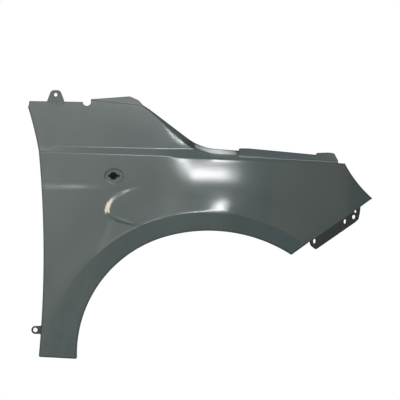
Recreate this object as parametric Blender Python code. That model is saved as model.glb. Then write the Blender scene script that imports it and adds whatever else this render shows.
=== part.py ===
"""Right-hand front fender of a small car: a pressed steel sheet, two brackets and a lamp hole plug.

The panel is drawn in its own frame: X runs forward along the car, Z runs up, and Y runs
inboard, so the painted side faces -Y. X and Z are measured from the wheel arch's reference
point. One empty then puts the whole part's origin on the seat of the rear upper bracket.
"""
import math

import bmesh
import bpy
import numpy as np
from mathutils import Vector
from mathutils.geometry import delaunay_2d_cdt

# Reach of the panel forward and up from the wheel arch's reference point
FRONT_X = 0.4420
TOP_Z = 0.6811

# Sheet metal
SHEET = 0.0008
BRACKET_SHEET = 0.0015
WELD_GAP = 0.0003
FOLD_RADIUS = 0.0020
BRACKET_BEND_RADIUS = 0.0025

# Spacing of the mesh
SHORTEST_EDGE = 0.0006
FLARE_ROW_GAP = 0.020
GRID_STEP = 0.026
EDGE_STEP = 0.018
BRACKET_GRID_STEP = 0.008
EDGE_GAP_SHARE = 0.12
GRID_CLEARANCE_SHARE = 0.55
RIM_ROW_WIDTH = 0.012
FLARE_ROW_FRONT_ANGLE = 55.0
FLARE_ROW_REAR_ANGLE = 138.0
LAMP_SEAT_ROWS = (1.08, 0.95, 0.82)
HOLE_POINTS = 12
FOLD_ANGLES = (30, 60, 90)
SHARP_ANGLE = 35.0

# How the body side curves: along the car towards the lamp, and up the side
PLAN_START_X = -0.440
PLAN_LENGTH = FRONT_X + 0.443
PLAN_DEPTH = 0.166
PLAN_POWER = 3.6
SIDE_FLAT_Z = 0.200
SIDE_RADIUS = 9.0

# Wheel arch: a front arc and a tighter rear arc that meet on one tangent
ARCH_FRONT_X = -0.0007
ARCH_FRONT_Z = -0.0614
ARCH_FRONT_RADIUS = 0.404
ARCH_REAR_RADIUS = 0.318
ARCH_JOIN_ANGLE = 106.0
NOSE_ANGLE = 57.2
FOOT_FRONT_Z = 0.0090

# Corners of the painted outline
FOOT_REAR = (-0.4415, 0.0145)
DOOR_KINK = (-0.4420, 0.5500)
DOOR_TOP = (-0.4712, TOP_Z - 0.0139)
DOOR_SAG = 0.0128
PILLAR_SAG = 0.0018
TOP_REAR = (-0.4672, TOP_Z)
NOTCH_CENTRE = (-0.3170, TOP_Z - 0.0023)
NOTCH_RADIUS = 0.0105
LAMP_TOP = (FRONT_X - 0.0780, 0.5207)
LAMP_TIP = (FRONT_X, 0.4266)
LAMP_SAG = 0.0060
NOSE_CORNER_RADIUS = 0.004
SMALL_CORNER_RADIUS = 0.003

# Upper painted edge, and the rim of the flange beyond it, as corners with their radii
SKIN_EDGE = (
    (-0.3068, TOP_Z - 0.0005, 0.0),
    (-0.1715, TOP_Z - 0.0143, 0.022),
    (-0.0279, 0.5389, 0.175),
    (FRONT_X - 0.0960, 0.5212, 0.0),
)
FLANGE_RIM = (
    (-0.3055, TOP_Z + 0.0051, 0.0),
    (-0.2054, TOP_Z + 0.0131, 0.004),
    (-0.1825, TOP_Z + 0.0027, 0.006),
    (-0.1700, TOP_Z - 0.0111, 0.006),
    (-0.1540, TOP_Z - 0.0211, 0.010),
    (-0.0215, 0.5599, 0.140),
    (0.0798, 0.5524, 0.0),
    (0.0815, 0.5590, 0.001),
    (0.1080, 0.5586, 0.05),
    (FRONT_X - 0.1558, 0.5430, 0.0),
    (FRONT_X - 0.1536, 0.5482, 0.001),
    (FRONT_X - 0.1214, 0.5496, 0.004),
    (FRONT_X - 0.1050, 0.5478, 0.006),
    (FRONT_X - 0.0965, 0.5290, 0.004),
)

# Flange sections: depth of the step at the painted edge, its height, and the slope beyond
STEP_RADIUS = 0.0018
STEP_ANGLE = math.radians(72.0)
TOP_FLANGE_END_X = -0.166
HOOD_FLANGE_START_X = 0.070
SECTION_BLEND = 0.016
TOP_STEP_DEPTH = 0.0030
TOP_FLANGE_SLOPE = 0.85
GUTTER_STEP_DEPTH = 0.0090
GUTTER_SLOPE = 0.65
HOOD_STEP_DEPTH = 0.0060
HOOD_FLANGE_SLOPE = 1.15

# Bumper flange below the lower front edge
BUMPER_ROOT_REAR = (0.2672, 0.3125)
BUMPER_ROOT_FRONT = (FRONT_X - 0.0342, 0.4045)
BUMPER_SLOPE = 0.95
BUMPER_END_REACH = 0.012
BUMPER_RIM = (
    (FRONT_X - 0.0354, 0.3880, 0.004),
    (FRONT_X - 0.0384, 0.3718, 0.003),
    (FRONT_X - 0.0468, 0.3636, 0.004),
    (0.2850, 0.2908, 0.006),
    (0.2705, 0.3020, 0.006),
)
BUMPER_HOLES = (
    (0.2806, 0.3138, 0.0033, 0.0062),
    (FRONT_X - 0.0777, 0.3652, 0.0031, 0.0060),
    (FRONT_X - 0.0528, 0.3773, 0.0044, 0.0056),
    (FRONT_X - 0.0486, 0.3920, 0.0028, 0.0037),
)

# Inward lips around the rest of the outline
DOOR_LIP = 0.012
FOOT_LIP = 0.018
ARCH_LIP = 0.012
NOSE_LIP = 0.008
LAMP_LIP = 0.008
LIP_HOLE_RADIUS = 0.0030
LIP_CUT_REACH = 0.004
ARCH_HOLE_ANGLES = (66.0, 84.0, 102.0, 126.0, 150.0, 170.0)
FOOT_SLOT_HALF_LENGTH = 0.0060

# Waist step: two creases with a sloped band between them
WAIST_START_X = -0.440
WAIST_TOP_Z = 0.5628
WAIST_TOP_FALL = 0.0205
WAIST_LOW_Z = 0.5483
WAIST_LOW_FALL = 0.0340
WAIST_JOG = 0.0030
WAIST_JOG_X = -0.105
WAIST_JOG_WIDTH = 0.020
WAIST_STEP = 0.0034
SHOULDER_STEP = 0.0100
SHOULDER_START_X = -0.150
SHOULDER_FULL_X = 0.010
CREASE_HALF_WIDTH = 0.0022

# Crown above the arch, under the shoulder crease
CROWN_START_X = -0.142
CROWN_FULL_X = -0.032
CROWN_END_X = 0.120
CROWN_FADE = 0.200
CROWN_HEIGHT = 0.098
CROWN_TILT = 0.113
CROWN_DIP_X = 0.010
CROWN_DIP_WIDTH = 0.030
CROWN_DIP_REACH = 0.015
CROWN_DIP_TILT = 0.050

# Flared band around the arch
FLARE_X = -0.0043
FLARE_Z = -0.0379
FLARE_BAND = 0.025
FLARE_RADIUS = ARCH_FRONT_RADIUS + FLARE_BAND
FLARE_REACH = 0.062
FLARE_TILT = 0.040
FLARE_BLOB_TILT = 0.088
FLARE_BLOB_ANGLE = 83.6
FLARE_BLOB_HALF_ANGLE = 11.0
FLARE_LIP_TILT = 0.100
FLARE_LIP_REACH = 0.009
FLARE_BAND_TILT = 0.10
FLARE_CREASE_HALF_WIDTH = 0.0014
FLARE_REAR_ANGLE = 118.0
FLARE_FRONT_ANGLE = 61.0
FLARE_FADE_ANGLE = 16.0
FLARE_REAR_SOFTNESS = 0.020
FLARE_REAR_LOSS = 0.55

# Rounded shoulder where the flare dies into the body behind it: an oval that fades forward
BULGE_X = -0.1455
BULGE_Z = 0.3945
BULGE_RISE = 0.0020
BULGE_HALF_LENGTH = 0.118
BULGE_UPPER_HEIGHT = 0.0640
BULGE_LOWER_HEIGHT = 0.0400
BULGE_EDGE_SHARE = 0.085
BULGE_FADE_X = -0.2550
BULGE_FADE_REACH = 0.115

# The flare's crease runs on behind the arch as a short ridge that turns up
RIDGE_REAR = (-0.2560, 0.3830)
RIDGE_FRONT = (-0.1820, 0.3539)
RIDGE_REACH = 0.010
RIDGE_TILT = 0.105
RIDGE_FADE = 0.020

# Roll of the panel beside the cowl slope
ROLL_X = -0.083
ROLL_HALF_LENGTH = 0.046
ROLL_REACH = 0.038
ROLL_TILT = 0.085

# Soft character line that runs in from the door
DOOR_LINE_Z = 0.4575
DOOR_LINE_STEP = 0.0012
DOOR_LINE_HALF_WIDTH = 0.010
DOOR_LINE_END_X = -0.240
DOOR_LINE_FADE = 0.120

# Side lamp seat, its keyed hole and the plug that closes it
LAMP_SEAT_X = -0.2454
LAMP_SEAT_Z = 0.4848
LAMP_SEAT_HALF_LENGTH = 0.0250
LAMP_SEAT_HALF_HEIGHT = 0.0195
LAMP_SEAT_DEPTH = 0.0026
LAMP_SEAT_OUTER = 1.05
LAMP_SEAT_WALL = 0.20
LAMP_HOLE_X = -0.2474
LAMP_HOLE_Z = 0.4858
LAMP_HOLE_RADIUS = 0.0097
LAMP_LUG_HALF_HEIGHT = 0.0026
LAMP_REAR_LUG = 0.0135
LAMP_FRONT_LUG = 0.0158
PLUG_X = -0.2462
PLUG_Z = 0.4852
PLUG_HALF_LENGTH = 0.0185
PLUG_HALF_HEIGHT = 0.0145
PLUG_CLEARANCE = 0.0004
PLUG_RECESS = 0.0003
PLUG_THICKNESS = 0.0022

# Rear upper bracket
UPPER_HOLE_X = -0.3985
UPPER_HOLE_Z = TOP_Z + 0.0164
UPPER_HOLE_RADIUS = 0.0045
UPPER_HEAD_RADIUS = 0.0120
UPPER_BASE_HALF_WIDTH = 0.0225
UPPER_LEAF_DEPTH = 0.0240
UPPER_LEAF_CORNER = 0.006
UPPER_JOGGLE = 0.0015
UPPER_SEAT_DROP = 0.0095
UPPER_BEND_DROP = 0.004
UPPER_BEND_HEIGHT = 0.005
UPPER_BASE_FILLET = 0.004
UPPER_HEAD_SHARE = 0.95
UPPER_ROW_INSET = 0.003

# Rear lower bracket
LOWER_HOLE_X = -0.4511
LOWER_HOLE_Z = 0.0840
LOWER_HOLE_RADIUS = 0.0057
LOWER_HEAD_RADIUS = 0.0106
LOWER_HALF_HEIGHT = 0.0140
LOWER_COLLAR_RADIUS = 0.0082
LOWER_COLLAR_RISE = 0.0010
LOWER_COLLAR_WALL = 0.0010
LOWER_LEAF = 0.0080
LOWER_NECK_REACH = 0.004
LOWER_NECK_FILLET = 0.003
LOWER_HEAD_SHARE = 0.98

PRIMER_COLOUR = (0.118, 0.152, 0.153, 1.0)
BRACKET_COLOUR = (0.110, 0.135, 0.150, 1.0)
PLUG_COLOUR = (0.006, 0.008, 0.009, 1.0)


def smooth_step(value):
    """Ease from 0 to 1 as value goes from 0 to 1."""
    t = np.clip(value, 0.0, 1.0)
    return t * t * (3.0 - 2.0 * t)


def soft_positive(value, half_width):
    """Value where it is positive and 0 elsewhere, with the corner rounded over half_width."""
    inside = np.clip(value + half_width, 0.0, 2.0 * half_width)
    return np.where(value > half_width, value, inside ** 2 / (4.0 * half_width))


def soft_ramp(value, length, half_width):
    """A ramp from 0 to 1 along a length, with both of its corners rounded."""
    rise = soft_positive(value, half_width) - soft_positive(value - length, half_width)
    return rise / length


def curl_rise(above, reach, tilt):
    """How far a surface has curled out when its slope grows from 0 at reach to tilt at 0."""
    return tilt * reach / 3.0 * np.clip(1.0 - above / reach, 0.0, 1.0) ** 3


def round_rise(above, reach, tilt):
    """The same for a slope that holds near 0 and then falls away faster towards reach."""
    share = np.clip(above / reach, 0.0, 1.0)
    return tilt * reach * (2.0 / 3.0 - share + share ** 3 / 3.0)


def turned(vector, angle):
    """A flat vector turned by an angle."""
    cos, sin = math.cos(angle), math.sin(angle)
    return np.array((cos * vector[0] - sin * vector[1], sin * vector[0] + cos * vector[1]))


def corner_arc(before, corner, after, radius, step):
    """The arc that rounds a corner, and how far from the corner it starts."""
    corner = np.array(corner)
    back = np.array(before) - corner
    ahead = np.array(after) - corner
    back = back / np.linalg.norm(back)
    ahead = ahead / np.linalg.norm(ahead)
    half_angle = math.acos(np.clip(back @ ahead, -1.0, 1.0)) / 2.0
    reach = radius / math.tan(half_angle)
    bisector = (back + ahead) / np.linalg.norm(back + ahead)
    centre = corner + bisector * radius / math.sin(half_angle)
    first = corner + back * reach - centre
    way = first[1] * back[0] - first[0] * back[1]
    sweep = math.copysign(math.pi - 2.0 * half_angle, way)
    count = max(2, math.ceil(abs(sweep) * radius / step))
    return [centre + turned(first, sweep * i / count) for i in range(count + 1)], reach


def filleted(corners, step):
    """Points along straight runs joined by arcs; each corner is (x, z, radius)."""
    points = [np.array(corners[0][:2])]
    for before, corner, after in zip(corners, corners[1:], corners[2:]):
        if corner[2] == 0.0:
            points.append(np.array(corner[:2]))
        else:
            points.extend(corner_arc(before[:2], corner[:2], after[:2], corner[2], step)[0])
    points.append(np.array(corners[-1][:2]))
    return divided(points, step)


def divided(points, step):
    """Split the long runs between points so that no run is longer than about one step."""
    result = [points[0]]
    for start, end in zip(points, points[1:]):
        length = np.linalg.norm(end - start)
        if length < SHORTEST_EDGE:
            continue
        count = max(1, round(length / step))
        result.extend(start + (end - start) * i / count for i in range(1, count + 1))
    return np.array(result)


def sagged(start, end, sag, step):
    """Points from start to end on a flat arc that bows to the right of its run by sag."""
    start, end = np.array(start), np.array(end)
    run = end - start
    length = np.linalg.norm(run)
    side = np.array((run[1], -run[0])) / length
    count = max(2, round(length / step))
    t = np.linspace(0.0, 1.0, count + 1)[:, None]
    return start + run * t + side * (4.0 * sag * t * (1.0 - t))


def arc(centre_x, centre_z, radius, start_angle, end_angle, step):
    """Points on an arc between two angles in degrees."""
    length = abs(math.radians(end_angle - start_angle)) * radius
    angles = np.radians(np.linspace(start_angle, end_angle, max(2, round(length / step)) + 1))
    return np.column_stack((centre_x + radius * np.cos(angles), centre_z + radius * np.sin(angles)))


SKIN_EDGE_LINE = filleted(SKIN_EDGE, 0.004)
FLANGE_RIM_LINE = filleted(FLANGE_RIM, 0.004)


def skin_edge_z(x):
    """Height of the painted upper edge."""
    return np.interp(x, SKIN_EDGE_LINE[:, 0], SKIN_EDGE_LINE[:, 1])


def waist_low_z(x):
    """Height of the lower waist crease, which becomes the shoulder crease above the arch."""
    rear = WAIST_LOW_Z - WAIST_LOW_FALL * (x - WAIST_START_X)
    return rear - WAIST_JOG * smooth_step((x - WAIST_JOG_X) / WAIST_JOG_WIDTH)


def waist_top_z(x):
    """Height of the upper waist crease."""
    return WAIST_TOP_Z - WAIST_TOP_FALL * (x - WAIST_START_X)


def plan_depth(x):
    """How far the body side has turned inboard."""
    return PLAN_DEPTH * np.clip((x - PLAN_START_X) / PLAN_LENGTH, 0.0, None) ** PLAN_POWER


def flare_depth(x, z):
    """The curl of the body out to the flare's crease, and the band below that crease."""
    away_x, away_z = x - FLARE_X, z - FLARE_Z
    above = np.hypot(away_x, away_z) - FLARE_RADIUS
    angle = np.degrees(np.arctan2(away_z, away_x))
    rear = smooth_step((angle - FLARE_REAR_ANGLE) / (2.0 * FLARE_FADE_ANGLE))
    front = smooth_step((FLARE_FRONT_ANGLE - angle) / FLARE_FADE_ANGLE)
    blob = 1.0 - smooth_step(np.abs(angle - FLARE_BLOB_ANGLE) / FLARE_BLOB_HALF_ANGLE)
    curl = round_rise(above, FLARE_REACH, FLARE_TILT + FLARE_BLOB_TILT * blob)
    curl = curl + curl_rise(above, FLARE_LIP_REACH, FLARE_LIP_TILT) * (1.0 - rear)
    softness = FLARE_CREASE_HALF_WIDTH + FLARE_REAR_SOFTNESS * rear
    turn = FLARE_BAND_TILT * soft_positive(-above, softness)
    return (1.0 - rear * FLARE_REAR_LOSS) * (1.0 - front) * (turn - curl)


def crown_depth(x, z):
    """The full shoulder above the wheel, under the shoulder crease, with a slight dip at its top."""
    below = np.clip(waist_low_z(x) - z, 0.0, None)
    rise = round_rise(0.0, CROWN_HEIGHT, CROWN_TILT) - round_rise(below, CROWN_HEIGHT, CROWN_TILT)
    dip = curl_rise(below, CROWN_DIP_REACH, CROWN_DIP_TILT)
    dip = dip * smooth_step((x - CROWN_DIP_X) / CROWN_DIP_WIDTH + 0.5)
    grown = smooth_step((x - CROWN_START_X) / (CROWN_FULL_X - CROWN_START_X))
    return -(rise + dip) * grown * (1.0 - smooth_step((x - CROWN_END_X) / CROWN_FADE))


def bulge_depth(x, z):
    """The rounded end of the flare behind the arch, which fades forward."""
    height = np.where(z > BULGE_Z, BULGE_UPPER_HEIGHT, BULGE_LOWER_HEIGHT)
    reach = np.hypot((x - BULGE_X) / BULGE_HALF_LENGTH, (z - BULGE_Z) / height)
    standing = 1.0 - smooth_step((reach - 1.0) / (2.0 * BULGE_EDGE_SHARE) + 0.5)
    fade = 1.0 - smooth_step(np.hypot(x - BULGE_FADE_X, z - BULGE_Z) / BULGE_FADE_REACH)
    return -BULGE_RISE * standing * fade


def ridge_depth(x, z):
    """The short ridge that carries the flare's crease on behind the arch."""
    start = np.array(RIDGE_REAR)
    run = np.array(RIDGE_FRONT) - start
    length = np.linalg.norm(run)
    run /= length
    along = (x - start[0]) * run[0] + (z - start[1]) * run[1]
    above = (z - start[1]) * run[0] - (x - start[0]) * run[1]
    fade = smooth_step(along / RIDGE_FADE) * (1.0 - smooth_step((along - length) / RIDGE_FADE + 1.0))
    return -curl_rise(above, RIDGE_REACH, RIDGE_TILT) * fade


def roll_depth(x, z):
    """The panel rolls inboard towards the cowl slope."""
    strength = 1.0 - smooth_step(np.abs(x - ROLL_X) / ROLL_HALF_LENGTH)
    return strength * curl_rise(skin_edge_z(x) - z, ROLL_REACH, ROLL_TILT)


def waist_depth(x, z):
    """The step between the two waist creases."""
    forward = smooth_step((x - SHOULDER_START_X) / (SHOULDER_FULL_X - SHOULDER_START_X))
    step = WAIST_STEP + (SHOULDER_STEP - WAIST_STEP) * forward
    low = waist_low_z(x)
    return step * soft_ramp(z - low, waist_top_z(x) - low, CREASE_HALF_WIDTH)


def door_line_depth(x, z):
    """The soft line that continues the door's character line and fades towards the lamp seat."""
    fade = 1.0 - smooth_step((x - DOOR_LINE_END_X + DOOR_LINE_FADE) / DOOR_LINE_FADE)
    across = smooth_step((z - DOOR_LINE_Z) / (2.0 * DOOR_LINE_HALF_WIDTH) + 0.5)
    return DOOR_LINE_STEP * fade * (across - 0.5)


def lamp_seat_depth(x, z):
    """The shallow oval seat for the side lamp."""
    reach = np.hypot((x - LAMP_SEAT_X) / LAMP_SEAT_HALF_LENGTH, (z - LAMP_SEAT_Z) / LAMP_SEAT_HALF_HEIGHT)
    return LAMP_SEAT_DEPTH * smooth_step((LAMP_SEAT_OUTER - reach) / LAMP_SEAT_WALL)


def skin_depth(x, z):
    """Depth of the painted side at a point of the outline's plane."""
    side = (z - SIDE_FLAT_Z) ** 2 / (2.0 * SIDE_RADIUS)
    forms = waist_depth(x, z) + crown_depth(x, z) + flare_depth(x, z) + bulge_depth(x, z)
    lines = ridge_depth(x, z) + roll_depth(x, z) + door_line_depth(x, z)
    return plan_depth(x) + side + forms + lines + lamp_seat_depth(x, z)


def flange_section(x):
    """Depth of the step at the painted upper edge, and the slope of the flange beyond it."""
    to_gutter = smooth_step((x - TOP_FLANGE_END_X) / SECTION_BLEND)
    to_hood = smooth_step((x - HOOD_FLANGE_START_X) / SECTION_BLEND)
    step = TOP_STEP_DEPTH + (GUTTER_STEP_DEPTH - TOP_STEP_DEPTH) * to_gutter
    step = step + (HOOD_STEP_DEPTH - GUTTER_STEP_DEPTH) * to_hood
    slope = TOP_FLANGE_SLOPE + (GUTTER_SLOPE - TOP_FLANGE_SLOPE) * to_gutter
    return step, slope + (HOOD_FLANGE_SLOPE - GUTTER_SLOPE) * to_hood


def step_arcs(step):
    """Height and depth of each arc of the step, and the height of the straight wall between."""
    reach = STEP_RADIUS * math.sin(STEP_ANGLE)
    drop = STEP_RADIUS * (1.0 - math.cos(STEP_ANGLE))
    return reach, drop, np.clip(step - 2.0 * drop, 0.0, None) / math.tan(STEP_ANGLE)


def upper_flange_depth(x, z):
    """Extra depth of the flange beyond the painted upper edge: a rolled step, then a slope."""
    height = np.clip(z - skin_edge_z(x), 0.0, None)
    step, slope = flange_section(x)
    reach, drop, run = step_arcs(step)
    total = 2.0 * reach + run
    leaving = STEP_RADIUS - np.sqrt(STEP_RADIUS ** 2 - np.clip(height, 0.0, reach) ** 2)
    meeting = STEP_RADIUS - np.sqrt(STEP_RADIUS ** 2 - np.clip(total - height, 0.0, reach) ** 2)
    wall = np.clip(height - reach, 0.0, run) * math.tan(STEP_ANGLE)
    beyond = np.where(height > reach + run, drop - meeting, 0.0)
    return leaving + wall + beyond + slope * np.clip(height - total, 0.0, None)


def bumper_run():
    """Start, direction, outward side and length of the bumper flange's root line."""
    start = np.array(BUMPER_ROOT_REAR)
    run = np.array(BUMPER_ROOT_FRONT) - start
    length = np.linalg.norm(run)
    run /= length
    return start, run, np.array((run[1], -run[0])), length


def surface_depth(x, z):
    """Depth of the whole sheet, with the flanges that show beyond the painted edges."""
    x, z = np.asarray(x, dtype=float), np.asarray(z, dtype=float)
    start, run, side, length = bumper_run()
    along = (x - start[0]) * run[0] + (z - start[1]) * run[1]
    out = (x - start[0]) * side[0] + (z - start[1]) * side[1]
    on_bumper = (out > 0.0) & (along > -BUMPER_END_REACH) & (along < length + BUMPER_END_REACH)
    out = np.where(on_bumper, out, 0.0)
    in_span = (x > SKIN_EDGE[0][0]) & (x < SKIN_EDGE[-1][0])
    edge = np.where(in_span, np.minimum(z, skin_edge_z(x)), z)
    base = skin_depth(x - side[0] * out, edge - side[1] * out)
    upper = np.where(in_span, upper_flange_depth(x, z), 0.0)
    return base + upper + BUMPER_SLOPE * out


def arch_rear_centre():
    """Centre of the rear arc, which is tangent to the front arc where they join."""
    join = math.radians(ARCH_JOIN_ANGLE)
    shift = ARCH_FRONT_RADIUS - ARCH_REAR_RADIUS
    return ARCH_FRONT_X + shift * math.cos(join), ARCH_FRONT_Z + shift * math.sin(join)


def arch_line(step):
    """The wheel opening from the nose round to the foot."""
    rear_x, rear_z = arch_rear_centre()
    foot_angle = 180.0 + math.degrees(math.asin((rear_z - FOOT_FRONT_Z) / ARCH_REAR_RADIUS))
    front = arc(ARCH_FRONT_X, ARCH_FRONT_Z, ARCH_FRONT_RADIUS, NOSE_ANGLE, ARCH_JOIN_ANGLE, step)
    rear = arc(rear_x, rear_z, ARCH_REAR_RADIUS, ARCH_JOIN_ANGLE, foot_angle, step)
    return np.vstack((front, rear[1:]))


def panel_outline(step):
    """The silhouette, clockwise from the notch, as (point, lip depth, corner radius) stations."""
    arch = arch_line(step)
    notch = arc(*NOTCH_CENTRE, NOTCH_RADIUS, 180.0, 360.0, step / 3.0)
    bumper = filleted(((*BUMPER_ROOT_FRONT, 0.0), *BUMPER_RIM, (*BUMPER_ROOT_REAR, 0.0)), step)
    corner = SMALL_CORNER_RADIUS
    sections = (
        (notch, 0.0, 0.0),
        (SKIN_EDGE_LINE[:1], 0.0, 0.0),
        (filleted(FLANGE_RIM, step), 0.0, 0.0),
        (SKIN_EDGE_LINE[-1:], 0.0, 0.0),
        (np.array((LAMP_TOP,)), LAMP_LIP, corner),
        (sagged(LAMP_TOP, LAMP_TIP, LAMP_SAG, step)[1:-1], LAMP_LIP, 0.0),
        (np.array((LAMP_TIP,)), LAMP_LIP, corner),
        (bumper, 0.0, 0.0),
        (divided([np.array(BUMPER_ROOT_REAR), arch[0]], step)[1:-1], NOSE_LIP, 0.0),
        (arch[:1], NOSE_LIP, NOSE_CORNER_RADIUS),
        (arch[1:-1], ARCH_LIP, 0.0),
        (arch[-1:], ARCH_LIP, NOSE_CORNER_RADIUS),
        (divided([arch[-1], np.array(FOOT_REAR)], step)[1:-1], FOOT_LIP, 0.0),
        (np.array((FOOT_REAR,)), DOOR_LIP, NOSE_CORNER_RADIUS),
        (sagged(FOOT_REAR, DOOR_KINK, DOOR_SAG, step)[1:], DOOR_LIP, 0.0),
        (sagged(DOOR_KINK, DOOR_TOP, PILLAR_SAG, step)[1:], DOOR_LIP, 0.0),
        (divided([np.array(TOP_REAR), notch[0]], step)[:-1], 0.0, 0.0),
    )
    stations = [(point, lip, radius) for points, lip, radius in sections for point in points]
    return rounded(stations)


def rounded(stations):
    """Replace each station that has a corner radius with an arc, and drop what the arc covers."""
    count = len(stations)
    arcs, dropped = {}, set()
    for index, (point, _lip, radius) in enumerate(stations):
        if radius == 0.0:
            continue
        before, after = stations[index - 1][0], stations[(index + 1) % count][0]
        arcs[index], reach = corner_arc(before, point, after, radius, radius / 2.0)
        for way in (-1, 1):
            other = (index + way) % count
            while np.linalg.norm(stations[other][0] - point) < reach * 1.2:
                dropped.add(other)
                other = (other + way) % count
    points, lips = [], []
    for index, (point, lip, _radius) in enumerate(stations):
        if index not in dropped:
            run = arcs.get(index, [point])
            points.extend(run)
            lips.extend([lip] * len(run))
    return np.array(points), np.array(lips)


def outward(loop):
    """Unit normals of a clockwise loop, pointing out of it."""
    tangent = np.roll(loop, -1, axis=0) - np.roll(loop, 1, axis=0)
    normal = np.column_stack((-tangent[:, 1], tangent[:, 0]))
    return normal / np.linalg.norm(normal, axis=1)[:, None]


def inside(points, loop):
    """Which points lie inside a closed loop."""
    result = np.zeros(len(points), dtype=bool)
    for (x1, z1), (x2, z2) in zip(loop, np.roll(loop, -1, axis=0)):
        crosses = (z1 > points[:, 1]) != (z2 > points[:, 1])
        if z1 != z2:
            at_x = x1 + (points[:, 1] - z1) * (x2 - x1) / (z2 - z1)
            result ^= crosses & (points[:, 0] < at_x)
    return result


def clear_of(points, others, distance):
    """Which points are further than a distance from every one of the others."""
    gaps = np.linalg.norm(points[:, None, :] - np.asarray(others)[None, :, :], axis=2)
    return gaps.min(axis=1) > distance


def lamp_hole(inset=0.0):
    """The keyed hole in the side lamp seat, or a smaller shape inside it: a circle with two lugs."""
    radius, half_height = LAMP_HOLE_RADIUS - inset, LAMP_LUG_HALF_HEIGHT - inset
    lug_angle = math.degrees(math.asin(half_height / radius))
    points = []
    for middle, reach in ((0.0, LAMP_FRONT_LUG - inset), (180.0, LAMP_REAR_LUG - inset)):
        side = 1.0 if middle == 0.0 else -1.0
        edge_x = LAMP_HOLE_X + side * reach
        points.append((edge_x, LAMP_HOLE_Z - side * half_height))
        points.append((edge_x, LAMP_HOLE_Z + side * half_height))
        curve = arc(LAMP_HOLE_X, LAMP_HOLE_Z, radius, middle + lug_angle,
                    middle + 180.0 - lug_angle, LAMP_HOLE_RADIUS / 2.0)
        points.extend(tuple(p) for p in curve)
    return np.array(points)


def ellipse(centre_x, centre_z, half_x, half_z, count):
    """Points round an ellipse."""
    angles = np.radians(np.arange(count) * 360.0 / count)
    return np.column_stack((centre_x + half_x * np.cos(angles), centre_z + half_z * np.sin(angles)))


def feature_rows(step):
    """Rows of points that follow the creases, the flare, the lamp seat and the folds."""
    rows = []
    rim_x = np.arange(SKIN_EDGE[0][0], SKIN_EDGE[-1][0], step)
    rim_z = np.interp(rim_x, FLANGE_RIM_LINE[:, 0], FLANGE_RIM_LINE[:, 1])
    edge_z = skin_edge_z(rim_x)
    reach, _drop, run = step_arcs(flange_section(rim_x)[0])
    for rise in (0.0 * run, 0.7 * reach + 0.0 * run, 1.3 * reach + run, 2.0 * reach + run):
        rows.append(np.column_stack((rim_x, edge_z + rise)))
    wide = rim_z - edge_z > RIM_ROW_WIDTH
    rows.append(np.column_stack((rim_x, (edge_z + 2.0 * reach + run + rim_z) / 2.0))[wide])
    along = np.arange(WAIST_START_X, SKIN_EDGE[-1][0], step)
    for line in (waist_top_z(along), waist_low_z(along)):
        for offset in (-CREASE_HALF_WIDTH, CREASE_HALF_WIDTH):
            row = np.column_stack((along, line + offset))
            rows.append(row[row[:, 1] < skin_edge_z(along) - CREASE_HALF_WIDTH])
    for offset in (-FLARE_ROW_GAP, -CREASE_HALF_WIDTH, CREASE_HALF_WIDTH, FLARE_ROW_GAP):
        rows.append(arc(FLARE_X, FLARE_Z, FLARE_RADIUS + offset, FLARE_ROW_FRONT_ANGLE,
                        FLARE_ROW_REAR_ANGLE, step))
    for reach in LAMP_SEAT_ROWS:
        rows.append(ellipse(LAMP_SEAT_X, LAMP_SEAT_Z, LAMP_SEAT_HALF_LENGTH * reach,
                            LAMP_SEAT_HALF_HEIGHT * reach, 2 * HOLE_POINTS))
    start, run, side, length = bumper_run()
    count = round(length / step)
    for out in (0.0, FOLD_RADIUS):
        rows.append(np.array([start + run * length * i / count + side * out for i in range(count + 1)]))
    return rows


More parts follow.
